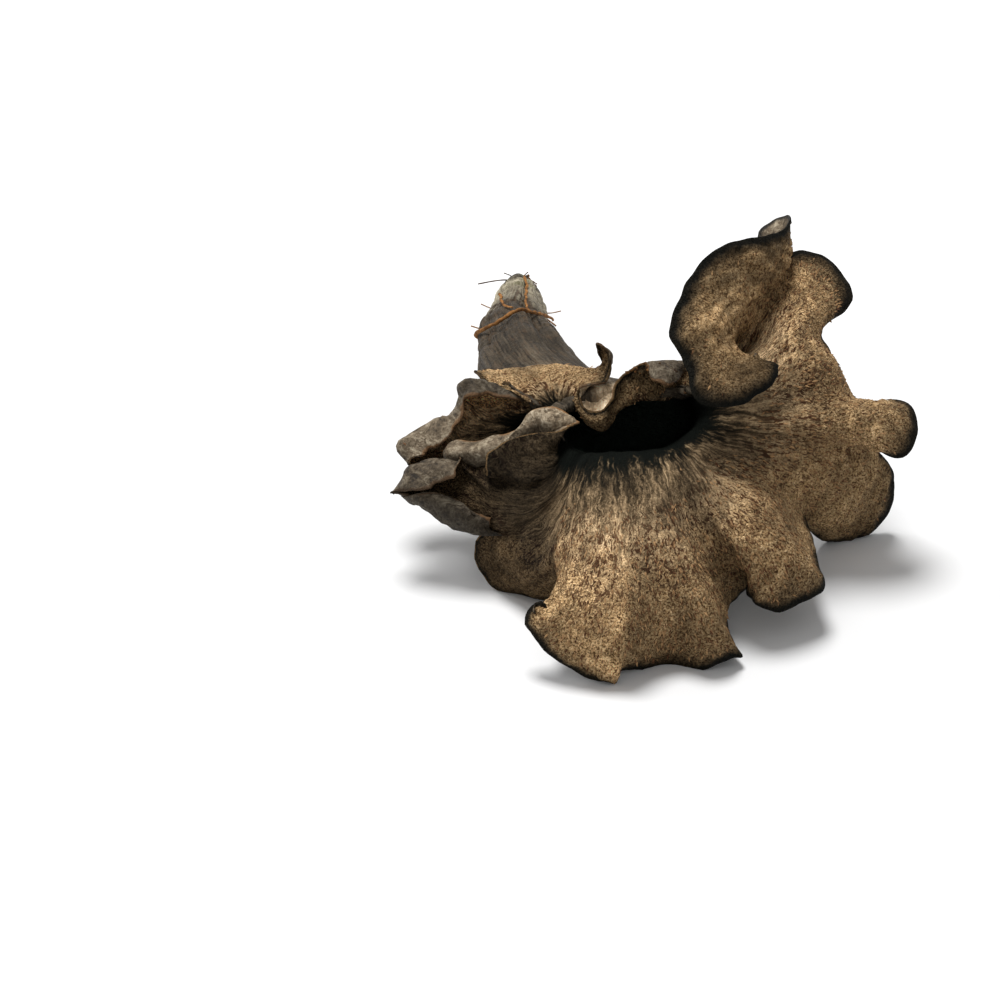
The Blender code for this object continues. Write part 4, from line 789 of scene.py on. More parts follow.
def joinedStrip(inner, outer, rimTurns=()):
    # the inner face out to the margin, a half round over the edge, and the outer face back
    start, end = inner["place"][:, -1], outer["place"][:, -1]
    middle, half = (start + end) / 2, (end - start) / 2
    ahead = inner["onward"][:, -1] * np.linalg.norm(half, axis=1, keepdims=True)
    rim = [(middle - half * math.cos(turn) + ahead * math.sin(turn))[:, None]
           for turn in np.radians(rimTurns)]
    joined = {"place": np.concatenate([inner["place"], *rim, outer["place"][:, ::-1]], axis=1)}
    for key in attributeNames:
        edges = [(inner if turn < 90 else outer)[key][:, -1:] for turn in rimTurns]
        joined[key] = np.concatenate([inner[key], *edges, outer[key][:, ::-1]], axis=1)
    return joined


def capRows(beforeThroat, afterThroat):
    # even rows from the joint to the throat, then even rows to the margin
    return np.concatenate([np.linspace(capShape["joint"], capShape["throat"], beforeThroat),
                           np.linspace(capShape["throat"], rowCount - 1.0, afterThroat)[1:]])


def makeCap(around):
    # the cap from the joint in the neck to the margin and back
    innerRows = capRows(*capShape["innerRows"])
    inner = faceFields(around, innerRows, False)
    outer = faceFields(around, capRows(*capShape["outerRows"]), True)
    rings = joinedStrip(inner, outer, capShape["rimTurns"])
    kinds = np.zeros(rings["place"].shape[1] - 1, int)
    kinds[len(innerRows) + len(capShape["rimTurns"]) // 2:] = 1
    return sheetMesh("trumpet_cap", rings, kinds, "ring"), inner


def makeStem(around):
    # the stem from its tip to the joint
    joint = capShape["joint"]
    (outerFirst, outerCount), (innerFirst, innerCount) = stemShape["outerRows"], stemShape["innerRows"]
    outer = faceFields(around, np.linspace(outerFirst, joint, outerCount), True)
    inner = faceFields(around, np.linspace(innerFirst, joint, innerCount), False)
    rings = joinedStrip(inner, outer)
    kinds = np.ones(rings["place"].shape[1] - 1, int)
    kinds[:innerCount - 1] = 0
    return sheetMesh("trumpet_stem", rings, kinds, "poles"), outer


capPlaces = roundPlaces(capShape["around"])
cap, capFace = makeCap(capPlaces)
stem, stemFace = makeStem(capPlaces[::2])
print("stage: cap", len(cap.data.polygons), "faces, stem", len(stem.data.polygons), "faces")


def colour(red, green, blue):
    # screen values of 0 to 255 to a shader's linear colour
    share = np.array([red, green, blue]) / 255
    linear = np.where(share <= 0.04045, share / 12.92, ((share + 0.055) / 1.055)**2.4)
    return (*linear.tolist(), 1.0)


class Reading:
    # a shader value that can be used in sums; each sum adds its Math node
    def __init__(self, finish, socket):
        self.finish, self.socket = finish, socket

    def sum(self, operation, first, second=0.0):
        return self.finish.add("Math", {"operation": operation}, {0: first, 1: second})

    def __add__(self, other):
        return self.sum("ADD", self, other)

    def __radd__(self, other):
        return self.sum("ADD", other, self)

    def __sub__(self, other):
        return self.sum("SUBTRACT", self, other)

    def __rsub__(self, other):
        return self.sum("SUBTRACT", other, self)

    def __mul__(self, other):
        return self.sum("MULTIPLY", self, other)

    def __rmul__(self, other):
        return self.sum("MULTIPLY", other, self)

    def __truediv__(self, other):
        return self.sum("DIVIDE", self, other)

    def __abs__(self):
        return self.sum("ABSOLUTE", self)

    def rise(self, low, high):
        # 0 below low, 1 above high, smooth between
        return self.finish.add("MapRange", {"interpolation_type": "SMOOTHSTEP"},
                               {0: self, 1: low, 2: high, 3: 0.0, 4: 1.0})

    def fall(self, low, high):
        # 1 below low, 0 above high, smooth between
        return 1 - self.rise(low, high)


class Finish:
    # one material and the nodes that make it
    def __init__(self, name, roughness, specular):
        self.material = bpy.data.materials.new(name)
        self.material.use_nodes = True
        self.tree = self.material.node_tree
        self.shader = self.tree.nodes["Principled BSDF"]
        self.shader.inputs["Roughness"].default_value = roughness
        self.shader.inputs["Specular IOR Level"].default_value = specular

    def feed(self, socket, value):
        # a link from a reading, or else a plain value
        if isinstance(value, Reading):
            self.tree.links.new(value.socket, socket)
        else:
            socket.default_value = value

    def add(self, kind, settings, values, output=0):
        # a node from its type, its settings, and the values or links of its sockets
        node = self.tree.nodes.new("ShaderNode" + kind)
        for key, value in settings.items():
            setattr(node, key, value)
        for key, value in values.items():
            self.feed(node.inputs[key], value)
        return Reading(self, node.outputs[output])

    def objectPlace(self):
        # the place in the piece's own coordinates
        return self.add("TexCoord", {}, {}, "Object")

    def measured(self, name, output="Vector"):
        # an attribute of the piece
        return self.add("Attribute", {"attribute_name": name}, {}, output)

    def parts(self, vector):
        # the three numbers of a vector
        node = self.add("SeparateXYZ", {}, {0: vector}).socket.node
        return [Reading(self, node.outputs[i]) for i in range(3)]

    def scaled(self, vector, factors, offset):
        # vector times factors plus offset
        return self.add("VectorMath", {"operation": "MULTIPLY_ADD"}, {0: vector, 1: factors, 2: offset})

    def noise(self, vector, scale, detail=3.0, roughness=0.6, distortion=0.0, output=0):
        return self.add("TexNoise", {}, {"Vector": vector, "Scale": scale, "Detail": detail,
                                         "Roughness": roughness, "Distortion": distortion}, output)

    def blend(self, factor, first, second, mode="MIX"):
        # the first colour where the factor is 0, the second where it is 1
        return self.add("Mix", {"data_type": "RGBA", "blend_type": mode}, {0: factor, 6: first, 7: second}, 2)

    def ramp(self, value, *stops):
        # colours at their places, straight between them
        made = self.add("ValToRGB", {}, {0: value})
        ramp = made.socket.node.color_ramp
        for _ in stops[2:]:
            ramp.elements.new(0.5)
        for element, (place, shade) in zip(ramp.elements, stops):
            element.position, element.color = place, shade
        return made

    def between(self, factor, first, second):
        # first + (second - first) factor
        return first + (second - first) * factor

    def shaded(self, base, amount):
        # the colour made lighter or darker by a number
        same = self.add("CombineColor", {}, {0: amount, 1: amount, 2: amount})
        return self.blend(1.0, base, same, "MULTIPLY")

    def dress(self, base, height, depth, rough=None):
        # base colour, a bump of the given depth in metres, and a varying roughness
        self.feed(self.shader.inputs["Base Color"], base)
        bump = self.add("Bump", {}, {"Strength": 1.0, "Distance": depth, "Height": height})
        self.feed(self.shader.inputs["Normal"], bump)
        if rough is not None:
            self.feed(self.shader.inputs["Roughness"], rough)


brown = {
    # painted light and shade in and around the throat: dusk is painted shade around it, throat is painted
    # shade near black within it, and inside is a green grey of painted light that lifts the deep inside of
    # the funnel out of black
    "inside": colour(88, 104, 92),
    "throat": colour(12, 16, 12),
    "dusk": colour(40, 33, 23),
    "soot": colour(92, 76, 56),
    "ash": colour(130, 109, 81),
    "tan": colour(166, 140, 107),
    "pale": colour(190, 165, 129),
    "crumb": colour(82, 60, 36),
    "gold": colour(160, 129, 90),
    "light": colour(208, 178, 136),
    "scale": colour(78, 54, 36),
    "margin": colour(18, 21, 19),
    "rim": colour(168, 134, 92),
    # patterns along the flow: count across, three counts along, shift, detail
    "fibre": (1.8, (0.3, 0.36, 0.55), (0.0, 0.0, 0.0), 4.0),
    "locks": (0.42, (0.1, 0.13, 0.2), (17.0, 5.0, 2.0), 2.0),
    "ripple": (0.8, (0.55, 0.7, 0.95), (31.0, 7.0, 3.0), 2.5),
    "dashes": (1.7, (0.42, 0.5, 0.7), (5.0, 23.0, 9.0), 1.0),
    # noise in space: scale, detail, roughness, distortion
    "fine": (3600.0, 2.0, 0.6),
    "grain": (3200.0, 2.0, 0.6, 0.4),
    "curls": (1700.0, 2.0, 0.5, 0.4),
    "mottle": (560.0, 3.0, 0.6),
    "patch": (150.0, 3.0, 0.6),
    "waviness": 1.05,
    # limits, in shares of the way out to the grain, of the throat's painted shade, and of the black margin's
    # width
    "grainFrom": (0.8, 1.15),
    "beltFrom": (0.6, 0.85),
    "beltTo": (1.0, 1.25),
    "throatTo": (0.45, 0.85),
    "duskTo": (0.54, 1.04),
    "marginTo": (0.3, 1.7),
    "haloTo": (0.2, 1.2),
    "curlsFrom": (0.9, 1.5),  # depth of the puckers at which the grain curls
    "rimTo": (0.0, 0.2),  # millimetres from the edge
    "lightness": (0.62, 0.32, 0.52),  # at least, by patches, by locks
    "bump": 0.0012,  # metres
}
grey = {
    "dark": colour(40, 34, 27),
    "middle": colour(92, 80, 64),
    "pale": colour(146, 135, 116),
    "earthy": colour(84, 64, 45),
    "base": colour(200, 190, 164),
    "moss": colour(112, 116, 66),
    "margin": colour(26, 27, 24),
    "rim": colour(150, 108, 66),
    "fibre": (1.0, (0.16, 0.2, 0.3), (11.0, 3.0, 9.0), 4.0),
    "locks": (0.42, (0.07, 0.1, 0.16), (3.0, 15.0, 6.0), 2.0),
    "fine": (2200.0, 3.0, 0.6),
    "mottle": (480.0, 3.0, 0.6),
    "patch": (150.0, 3.0, 0.6),
    "waviness": 1.1,
    # millimetres from the tip
    "darkTipTo": (3.0, 7.0),
    "mossTo": (4.0, 14.0),
    "paleBaseTo": (6.0, 19.0),
    "stemTo": (56.0, 80.0),
    "marginTo": (0.3, 1.2),  # share of its width
    "rimTo": (0.0, 0.45),  # millimetres from the edge
    "bump": 0.0007,
}
layerCounts = (0.8, 2.1, 5.6)  # how often a pattern is repeated where the sheet is narrow, wider and widest
waves = ((330.0, 1.0), (1000.0, 0.45))  # scale and strength of the noises that make fibres wave
alongWave = 2.2  # how much further they push along the fibres


def spread(finish, flow, width, across, alongs, offset, detail):
    # one fibre pattern at three counts round the funnel, blended by how wide the sheet has spread
    wide = width * across
    layers = [finish.noise(finish.scaled(flow, (count, count, along), offset), 1.0, detail)
              for count, along in zip(layerCounts, alongs)]
    first = finish.between(wide.rise(0.45, 1.0), layers[0], layers[1])
    return finish.between(wide.rise(1.5, 3.0), first, layers[2])


def warped(finish, flow, place, strength):
    # the flow pushed about by two soft noises, so that fibres wave like hair
    for scale, share in waves:
        push = finish.noise(place, scale, 1.0, 0.5, output="Color")
        reach = (strength * share, strength * share, strength * share * alongWave)
        push = finish.scaled(push, reach, tuple(-0.5 * most for most in reach))
        flow = finish.add("VectorMath", {"operation": "ADD"}, {0: flow, 1: push})
    return flow


def facePatterns(finish, look, width, names):
    # the named patterns of a look: along the flow where they have counts along it, else in space
    place = finish.objectPlace()
    flow = warped(finish, finish.measured("flow"), place, look["waviness"])
    return [spread(finish, flow, width, *look[name]) if isinstance(look[name][1], tuple)
            else finish.noise(place, *look[name]) for name in names]


def brownFinish():
    # hairs near the throat, grain further out, scales between, black margin; painted shade, deep dark in the
    # throat and fading out around it
    finish = Finish("brown_face", 0.88, 0.07)
    zone, fromMargin, width = finish.parts(finish.measured("where"))
    light, black, rim = finish.parts(finish.measured("tone"))
    outOfThroat, curl, _ = finish.parts(finish.measured("depth"))
    fibre, locks, ripple, dashes, fine, grain, curls, mottle, patch = facePatterns(finish, brown, width, (
        "fibre", "locks", "ripple", "dashes", "fine", "grain", "curls", "mottle", "patch"))
    fibreSwing, lockSwing, fineSwing, mottleSwing = fibre - 0.5, locks - 0.5, fine - 0.5, mottle - 0.5
    lobe = (zone + mottleSwing * 0.4 + lockSwing * 0.4).rise(*brown["grainFrom"])
    hairs = finish.ramp(fibre * 0.55 + locks * 0.2 + ripple * 0.25 + fineSwing * 0.25, (0.39, brown["soot"]),
                        (0.48, brown["ash"]), (0.545, brown["tan"]), (0.64, brown["pale"]))
    curled = curl.rise(*brown["curlsFrom"])
    # the grain is coloured from the same pattern as its bump: partly its own light and dark grains, partly
    # painted highlight on the crests and painted shade in the pits
    lumpy = finish.between(curled, grain * 0.85 + ripple * 0.15, grain * 0.4 + ripple * 0.6)
    crumbs = finish.ramp(lumpy + fineSwing * 0.35 + mottleSwing * 0.1, (0.36, brown["crumb"]),
                         (0.475, brown["gold"]), (0.68, brown["light"]))
    base = finish.blend(lobe, hairs, crumbs)
    # dark curled strokes, also sunk into the bump: partly the face's own dark marks, partly painted shade in
    # the small dents
    strokes = (abs(curls - 0.5).fall(0.01, 0.035) * (grain * 0.4 + mottle * 0.6).rise(0.56, 0.45)
               * (0.4 + lobe * 0.2))
    base = finish.blend(strokes, base, brown["crumb"])
    belt = zone.rise(*brown["beltFrom"]) * (1 - zone.rise(*brown["beltTo"]) * 0.85)
    scaly = (dashes * 0.85 + fibre * 0.15 + mottleSwing * 0.35).rise(0.45, 0.42) * belt
    base = finish.blend(scaly, base, brown["scale"])
    least, byPatch, byLocks = brown["lightness"]
    base = finish.shaded(base, least + patch * byPatch + locks * byLocks)
    # the lobe's tone, with its painted light and shade
    base = finish.shaded(base, light)
    # painted shade: the face darkens toward the throat, goes near black inside it, and turns to the green
    # grey of painted light deeper in
    dusk = (outOfThroat + lockSwing * 0.5 + fibreSwing * 0.7).fall(*brown["duskTo"])
    outward = (outOfThroat + fibreSwing * 0.5).rise(*brown["throatTo"])
    deep = finish.blend(outward, brown["throat"], brown["dusk"])
    deep = finish.blend(outOfThroat.rise(-0.7, 0.0), brown["inside"], deep)
    base = finish.blend(dusk, base, deep)
    halo = ((fromMargin + mottleSwing * 1.6) / (black * 3.2 + 0.1)).fall(*brown["haloTo"])
    inward = fromMargin + mottleSwing * 0.9 + fineSwing * 0.5
    edge = (inward / (black + 0.05)).fall(*brown["marginTo"])
    base = finish.blend(halo * 0.6, base, brown["margin"])
    base = finish.blend(edge * 0.96, base, brown["margin"])
    band = (fromMargin + mottleSwing * 0.9).fall(*brown["rimTo"]) * rim
    base = finish.blend(band, base, brown["rim"])
    relief = finish.between(lobe, fibre * 0.7 + ripple * 0.4 + locks * 0.6, lumpy * 1.3 + mottle * 0.3)
    height = relief - scaly * 0.1 - strokes * 0.3 + fine * 0.15
    finish.dress(base, height, brown["bump"], 0.82 + (grain - 0.5) * 0.25)
    return finish.material


def greyFinish():
    # lengthwise streaks and cloudy patches; soiled stem, darkened partly by painted shade, with a pale, mossy
    # base; black margin
    finish = Finish("grey_face", 0.8, 0.2)
    _, fromMargin, width = finish.parts(finish.measured("where"))
    light, black, rim = finish.parts(finish.measured("tone"))
    length = finish.parts(finish.measured("flow"))[2]
    fibre, locks, fine, mottle, patch = facePatterns(finish, grey, width, (
        "fibre", "locks", "fine", "mottle", "patch"))
    lockSwing, mottleSwing, patchSwing = locks - 0.5, mottle - 0.5, patch - 0.5
    inStem = length.fall(*grey["stemTo"])
    streak = fibre * 0.36 + locks * 0.2 + mottle * 0.32 + patch * 0.12 + (fine - 0.5) * 0.2
    base = finish.ramp(streak, (0.38, grey["dark"]), (0.5, grey["middle"]), (0.64, grey["pale"]))
    # the lobe's tone, with its painted light and shade
    base = finish.shaded(base, light)
    # the stem darkened in uneven patches: partly its own darker colour, partly painted shade
    base = finish.shaded(base, 1 - inStem * (0.28 + 1.6 * patchSwing + 1.2 * mottleSwing))
    soil = (locks * 0.5 + mottle * 0.5).rise(0.48, 0.6) * inStem
    base = finish.blend(soil * 0.45, base, grey["earthy"])
    uneven = length + mottleSwing * 22 + patchSwing * 30 + lockSwing * 14
    toBase = uneven.fall(*grey["paleBaseTo"]) * 0.85
    base = finish.blend(toBase, base, grey["base"])
    spots = (mottle * 0.4 + locks * 0.3 + fine * 0.3).rise(0.54, 0.44)
    base = finish.blend(spots * toBase, base, grey["middle"])
    tip = (length + mottleSwing * 6).fall(*grey["darkTipTo"])
    base = finish.blend(tip * 0.85, base, grey["dark"])
    mossy = (patch * 0.6 + mottle * 0.4).rise(0.52, 0.6) * length.fall(*grey["mossTo"])
    base = finish.blend(mossy * 0.6, base, grey["moss"])
    edge = ((fromMargin + mottleSwing * 0.8) / (black * 0.7 + 0.05)).fall(*grey["marginTo"])
    base = finish.blend(edge * 0.9, base, grey["margin"])
    band = (fromMargin + mottleSwing * 1.8).fall(*grey["rimTo"]) * rim
    base = finish.blend(band, base, grey["rim"])
    height = fibre * 0.6 + locks * 0.8 + mottle * 0.5 + fine * 0.2
    finish.dress(base, height, grey["bump"], 0.72 + mottleSwing * 0.3)
    return finish.material


def plainFinish(name, dark, pale, scale, roughness, depth):
    # a small piece's finish: two colours mixed by its own tint and by noise in space
    finish = Finish(name, roughness, 0.2)
    noise = finish.noise(finish.objectPlace(), scale)
    share = (finish.measured("tint", "Fac") * 0.6 + noise * 0.8 - 0.2).rise(0.25, 0.75)
    finish.dress(finish.blend(share, colour(*dark), colour(*pale)), noise, depth)
    return finish.material


brownFace, greyFace = brownFinish(), greyFinish()
for piece in (cap, stem):
    piece.data.materials.append(brownFace)
    piece.data.materials.append(greyFace)
    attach(piece, "root")
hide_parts("trumpet")
print("stage: finishes")

flakes = {
    "count": 5200,
    "length": (0.0005, 0.0012),
    "turn": 0.35,  # radians, usual way off the fibres
    # base, two sides, ridge and tip: shares of the length ahead, across and up
    "leaf": ((0, 0, -0.06), (0.45, 0.15, -0.03), (0.45, -0.15, -0.03), (0.4, 0, 0.1), (1.0, 0, 0.08)),
    "faces": ((0, 3, 1), (0, 2, 3), (1, 3, 4), (3, 2, 4), (0, 1, 2), (1, 4, 2)),
    "belt": ((0.6, 0.9), (1.2, 1.6)),  # zones between which they set in, and between which most end
    "beyond": 0.2,  # share of them left further out
    "lightFrom": (0.6, 0.9),  # none where the face is darker than this
    "bareMargin": 0.0022,
    "finish": ("scale_brown", (84, 54, 33), (170, 134, 94), 1500.0, 0.9, 0.0001),
    "seed": 4,
}


def makeFlakes():
    # small leaves strewn by area over the brown face; each is a corner set turned to the fibres and scaled
    rng = np.random.default_rng(flakes["seed"])
    place, onward = capFace["place"], capFace["onward"]
    zone, fromMargin = capFace["where"][..., 0], capFace["where"][..., 1] / milli
    (sets, full), (thins, thinned) = flakes["belt"]
    side = np.linalg.norm(np.cross(np.roll(place, -1, 0) - place, np.gradient(place, axis=1)), axis=2)
    clear = np.clip((fromMargin - flakes["bareMargin"]) / 1e-6, 0, 1)
    weight = (side * clear * smoothStep(zone, sets, full)
              * (1 - (1 - flakes["beyond"]) * smoothStep(zone, thins, thinned))
              * smoothStep(capFace["tone"][..., 0], *flakes["lightFrom"]))[:, :-1].ravel()
    picked = rng.choice(len(weight), flakes["count"], p=weight / weight.sum())
    i, j = np.divmod(picked, place.shape[1] - 1)
    after, f, g = (i + 1) % place.shape[0], rng.random(len(i))[:, None], rng.random(len(i))[:, None]
    at = ((1 - f) * ((1 - g) * place[i, j] + g * place[i, j + 1])
          + f * ((1 - g) * place[after, j] + g * place[after, j + 1]))
    up = -capFace["normal"][i, j]
    ahead = unitVectors(onward[i, j] - up * np.sum(onward[i, j] * up, axis=1, keepdims=True))
    across = np.cross(up, ahead)
    turn = rng.normal(0, flakes["turn"], len(i))[:, None]
    ahead, across = ahead * np.cos(turn) + across * np.sin(turn), across * np.cos(turn) - ahead * np.sin(turn)
    size = rng.uniform(*flakes["length"], len(i))[:, None]
    points = np.stack([at + size * (far * ahead + wide * across + high * up)
                       for far, wide, high in flakes["leaf"]], axis=1)
    corners = len(flakes["leaf"])
    faces = (np.arange(len(i)) * corners)[:, None, None] + np.array(flakes["faces"])
    tint = np.repeat(rng.random(len(i)), corners)
    return addPiece("cap_scales", points.reshape(-1, 3), faces.reshape(-1, 3).tolist(), {"tint": tint})


scales = makeFlakes()
scales.data.materials.append(plainFinish(*flakes["finish"]))
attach(scales, "root")
print("stage: scales")

strands = {
    # radius in metres, then stations on the stem: ring, angle in degrees, lift in metres
    "root_strand_long": (0.00034, ((4.45, 176, 0.0006), (4.8, 154, 0.0006), (5.15, 122, 0.0006),
                                   (5.0, 95, 0.0006), (4.6, 62, 0.0006), (4.0, 30, 0.0007), (3.7, 8, 0.001))),
    "root_strand_side": (0.00023, ((2.9, 120, 0.0006), (3.4, 113, 0.0005), (4.1, 104, 0.0005),
                                   (4.7, 97, 0.0006))),
    "root_strand_top": (0.00023, ((1.6, 88, 0.0006), (2.2, 84, 0.0005), (3.0, 82, 0.0005), (3.9, 78, 0.0005),
                                  (4.55, 73, 0.0006))),
}
strandShape = {
    "steps": 90,
    "sides": 12,
    "bend": (0.0022, 0.00018),  # size and height of the bends in metres
    "taper": (0.95, 0.25),  # share of the radius at the start, and share lost toward the end
    "knobs": 0.3,
    "normalSteps": (0.5, 0.1),  # small steps in lines and rows that give the way outward
    "skin": 0.001,  # metres from the bare sheet to the outside of the stem
    "finish": ("root_fibre", (66, 40, 20), (176, 122, 66), 900.0, 0.82, 0.00015),
}


def onStem(stations):
    # places at a lift from the outside of the stem
    found = []
    for ring, angle, lift in stations:
        line = (angle - stemShape["firstAngle"]) % 360 / 360 * lineCount
        aside, onward = strandShape["normalSteps"]
        patch = sheetPoints(control, np.array([line, line + aside]), np.array([ring, ring + onward]))
        normal = unitVectors(np.cross(patch[1, 0] - patch[0, 0], patch[0, 1] - patch[0, 0]))
        found.append(patch[0, 0] + normal * (strandShape["skin"] + lift))
    return np.array(found)


knobPattern = (0.45, 1.2)  # noise units to a step along a tube, and its radius in them
tipLength = 0.6  # of a tube's pointed ends, in radii


def tube(path, radii, sides, knobs, seed):
    # a round profile carried along a path, its radius changed by noise; pointed closed ends
    ahead = unitVectors(np.gradient(path, axis=0))
    across = unitVectors(np.cross(ahead, np.array([0.3, 0.2, 1.0])))
    over = np.cross(ahead, across)
    angle = 2 * math.pi * np.arange(sides) / sides
    cosines, sines = np.cos(angle)[None], np.sin(angle)[None]
    each, wide = knobPattern
    step = np.arange(len(path))[:, None]
    rough = 1 + knobs * latticeNoise(stacked(step * each, cosines * wide, sines * wide), seed)
    ring = across[:, None] * cosines[..., None] + over[:, None] * sines[..., None]
    body = path[:, None] + ring * (radii[:, None] * rough)[..., None]
    ends = path[[0, -1]] + ahead[[0, -1]] * radii[[0, -1], None] * np.array([[-tipLength], [tipLength]])
    index = np.arange(len(path) * sides).reshape(len(path), sides)
    after = np.roll(index, -1, axis=1)
    faces = np.stack([index[:-1], after[:-1], after[1:], index[1:]], axis=-1).reshape(-1, 4).tolist()
    first, last = index.size, index.size + 1
    faces += [[first, b, a] for a, b in zip(index[0].tolist(), after[0].tolist())]
    faces += [[last, a, b] for a, b in zip(index[-1].tolist(), after[-1].tolist())]
    return np.vstack([body.reshape(-1, 3), ends]), faces


def joinedTubes(name, tubes, tints):
    # several tubes in one mesh
    faces, start = [], 0
    for part, quads in tubes:
        faces += [[v + start for v in face] for face in quads]
        start += len(part)
    tint = np.concatenate([np.full(len(part), value) for (part, _), value in zip(tubes, tints)])
    made = addPiece(name, np.vstack([part for part, _ in tubes]), faces, {"tint": tint})
    smoothShaded(made)
    return made


strandFinish = plainFinish(*strandShape["finish"])
for number, (name, (radius, stations)) in enumerate(strands.items()):
    share = np.linspace(0, 1, strandShape["steps"])
    path = curvePoints(onStem(stations), share)
    bendSize, bendHigh = strandShape["bend"]
    path = path + bendHigh * np.stack([layeredNoise(path / bendSize + k * 9, seeds["strandBends"] + number, 2)
                                       for k in range(3)], axis=1)
    full, lost = strandShape["taper"]
    body = tube(path, radius * (full - lost * share**2), strandShape["sides"], strandShape["knobs"],
                seeds["strandKnobs"] + number)
    strand = joinedTubes(name + "_fibre", [body], [0.5])
    strand.data.materials.append(strandFinish)
    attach(strand, "root")
    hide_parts(name)
print("stage: root strands")

# Bits of soil and pale crumbs left on the base and on the torn edges
crumbSpots = {
    # spots (right, up, toward the viewer) with their spread in units, how many, and sizes in metres
    "soil_crumbs": (
        ((-8.1, 14.2, -52), 0.9, 34, (0.0002, 0.0006)), ((-10.6, 11.2, -47), 0.7, 16, (0.0002, 0.0006)),
        ((-7.2, 12.4, -47), 0.7, 12, (0.0002, 0.0005)), ((-10.4, 9.6, -42), 0.6, 8, (0.0002, 0.0005)),
        ((3.4, 6.2, -5), 0.5, 16, (0.0003, 0.0007)), ((5.2, 7, -5.6), 0.7, 34, (0.0003, 0.0009)),
        ((7.2, 6.9, -5.6), 0.7, 34, (0.0003, 0.0009)), ((8, 3.6, -5.4), 0.5, 10, (0.0002, 0.0005)),
        ((-9.4, 3.6, -8), 0.8, 12, (0.0002, 0.0006))),
    "pale_crumbs": (
        ((-11.4, 9.9, -43.5), 0.5, 9, (0.0003, 0.0008)), ((-9.5, 13.3, -49.5), 0.5, 6, (0.0002, 0.0005)),
        ((-6.2, 6.4, -29), 0.4, 3, (0.0003, 0.0006)), ((8, 7, -5.8), 0.25, 4, (0.0008, 0.0013)),
        ((-5.2, 6.2, -33), 0.5, 3, (0.0002, 0.0004))),
}
crumbs = {
    "soil_crumbs": ("soil_bits", (52, 36, 24), (126, 88, 50), 1800.0, 0.9, 0.0002),
    "pale_crumbs": ("pale_bits", (170, 164, 146), (224, 220, 206), 1800.0, 0.9, 0.0002),
    "standOff": 0.25,  # share of the size between a crumb's middle and the surface
    "cornerSwing": (0.55, 1.3),
    "sideSwing": (0.6, 1.3),
    "lowest": 0.0001,  # metres over the floor
    "seed": 12,
}
# Rootlets at the base
rootlets = {
    # places as they are drawn, then the radius in metres
    "threads": (
        (((-12.2, 14.6, -50.5), (-10.6, 14.9, -51.5), (-9.4, 15, -52), (-8.6, 14.8, -52)), 0.00011),
        (((-9.6, 15.7, -51), (-8.9, 15.4, -52), (-8.5, 14.9, -52.2)), 0.00009),
        (((-7.2, 15.8, -51), (-7.6, 15.4, -52), (-8, 14.8, -52.2)), 0.00009),
        (((-6.3, 14.6, -51.5), (-7.1, 15, -52), (-8, 14.7, -52.2)), 0.0001),
        (((-4.4, 10.4, -44.5), (-5.2, 11, -45), (-6.1, 11.4, -46)), 0.00013),
        (((-3.9, 11.9, -44.5), (-4.9, 11.7, -45), (-6.2, 11.7, -46)), 0.0001),
        (((-11.9, 12.6, -47), (-11, 12.2, -47), (-10, 11.9, -46.6)), 0.0001),
        (((-12.9, 10.4, -43), (-11.8, 10.1, -43), (-10.8, 10.2, -43)), 0.00012)),
    "steps": 26,
    "sides": 6,
    "knobs": 0.15,
    "finish": ("rootlet_brown", (70, 46, 26), (150, 108, 64), 1200.0, 0.85, 0.00005),
}


def makeCrumbs(name, rng):
    # twenty-faced lumps with uneven corners, each moved onto the nearest surface
    spots = crumbSpots[name]
    golden = (1 + 5**0.5) / 2
    corners = unitVectors(np.array([(0, 1, golden), (0, -1, golden), (0, 1, -golden), (0, -1, -golden),
                                    (1, golden, 0), (-1, golden, 0), (1, -golden, 0), (-1, -golden, 0),
                                    (golden, 0, 1), (-golden, 0, 1), (golden, 0, -1), (-golden, 0, -1)]))
    sides = np.array([(0, 1, 8), (0, 9, 1), (0, 8, 4), (0, 5, 9), (0, 4, 5), (1, 6, 8), (1, 9, 7), (1, 7, 6),
                      (8, 10, 4), (8, 6, 10), (9, 5, 11), (9, 11, 7), (4, 2, 5), (4, 10, 2), (5, 2, 11),
                      (6, 3, 10), (7, 3, 6), (7, 11, 3), (2, 3, 11), (2, 10, 3)])
    middles = np.concatenate([np.array(spot) + rng.normal(0, wide, (count, 3))
                              for spot, wide, count, _ in spots])
    size = np.concatenate([rng.uniform(*sizes, count) for _, _, count, sizes in spots])
    middles = toWorld(middles)
    for k, middle in enumerate(middles):
        nearest = surfacePlaces[np.argmin(np.sum((surfacePlaces - middle)**2, axis=1))]
        middles[k] = nearest + unitVectors(middle - nearest) * size[k] * crumbs["standOff"]
    shape = corners * (0.5 * size)[:, None, None] * rng.uniform(*crumbs["cornerSwing"], (len(size), 12, 1))
    shape = shape * rng.uniform(*crumbs["sideSwing"], (len(size), 1, 3))
    points = middles[:, None] + shape
    points[..., 2] = np.maximum(points[..., 2], crumbs["lowest"])
    faces = (np.arange(len(size)) * 12)[:, None, None] + sides
    tint = np.repeat(rng.random(len(size)), 12)
    return addPiece(name, points.reshape(-1, 3), faces.reshape(-1, 3).tolist(), {"tint": tint})


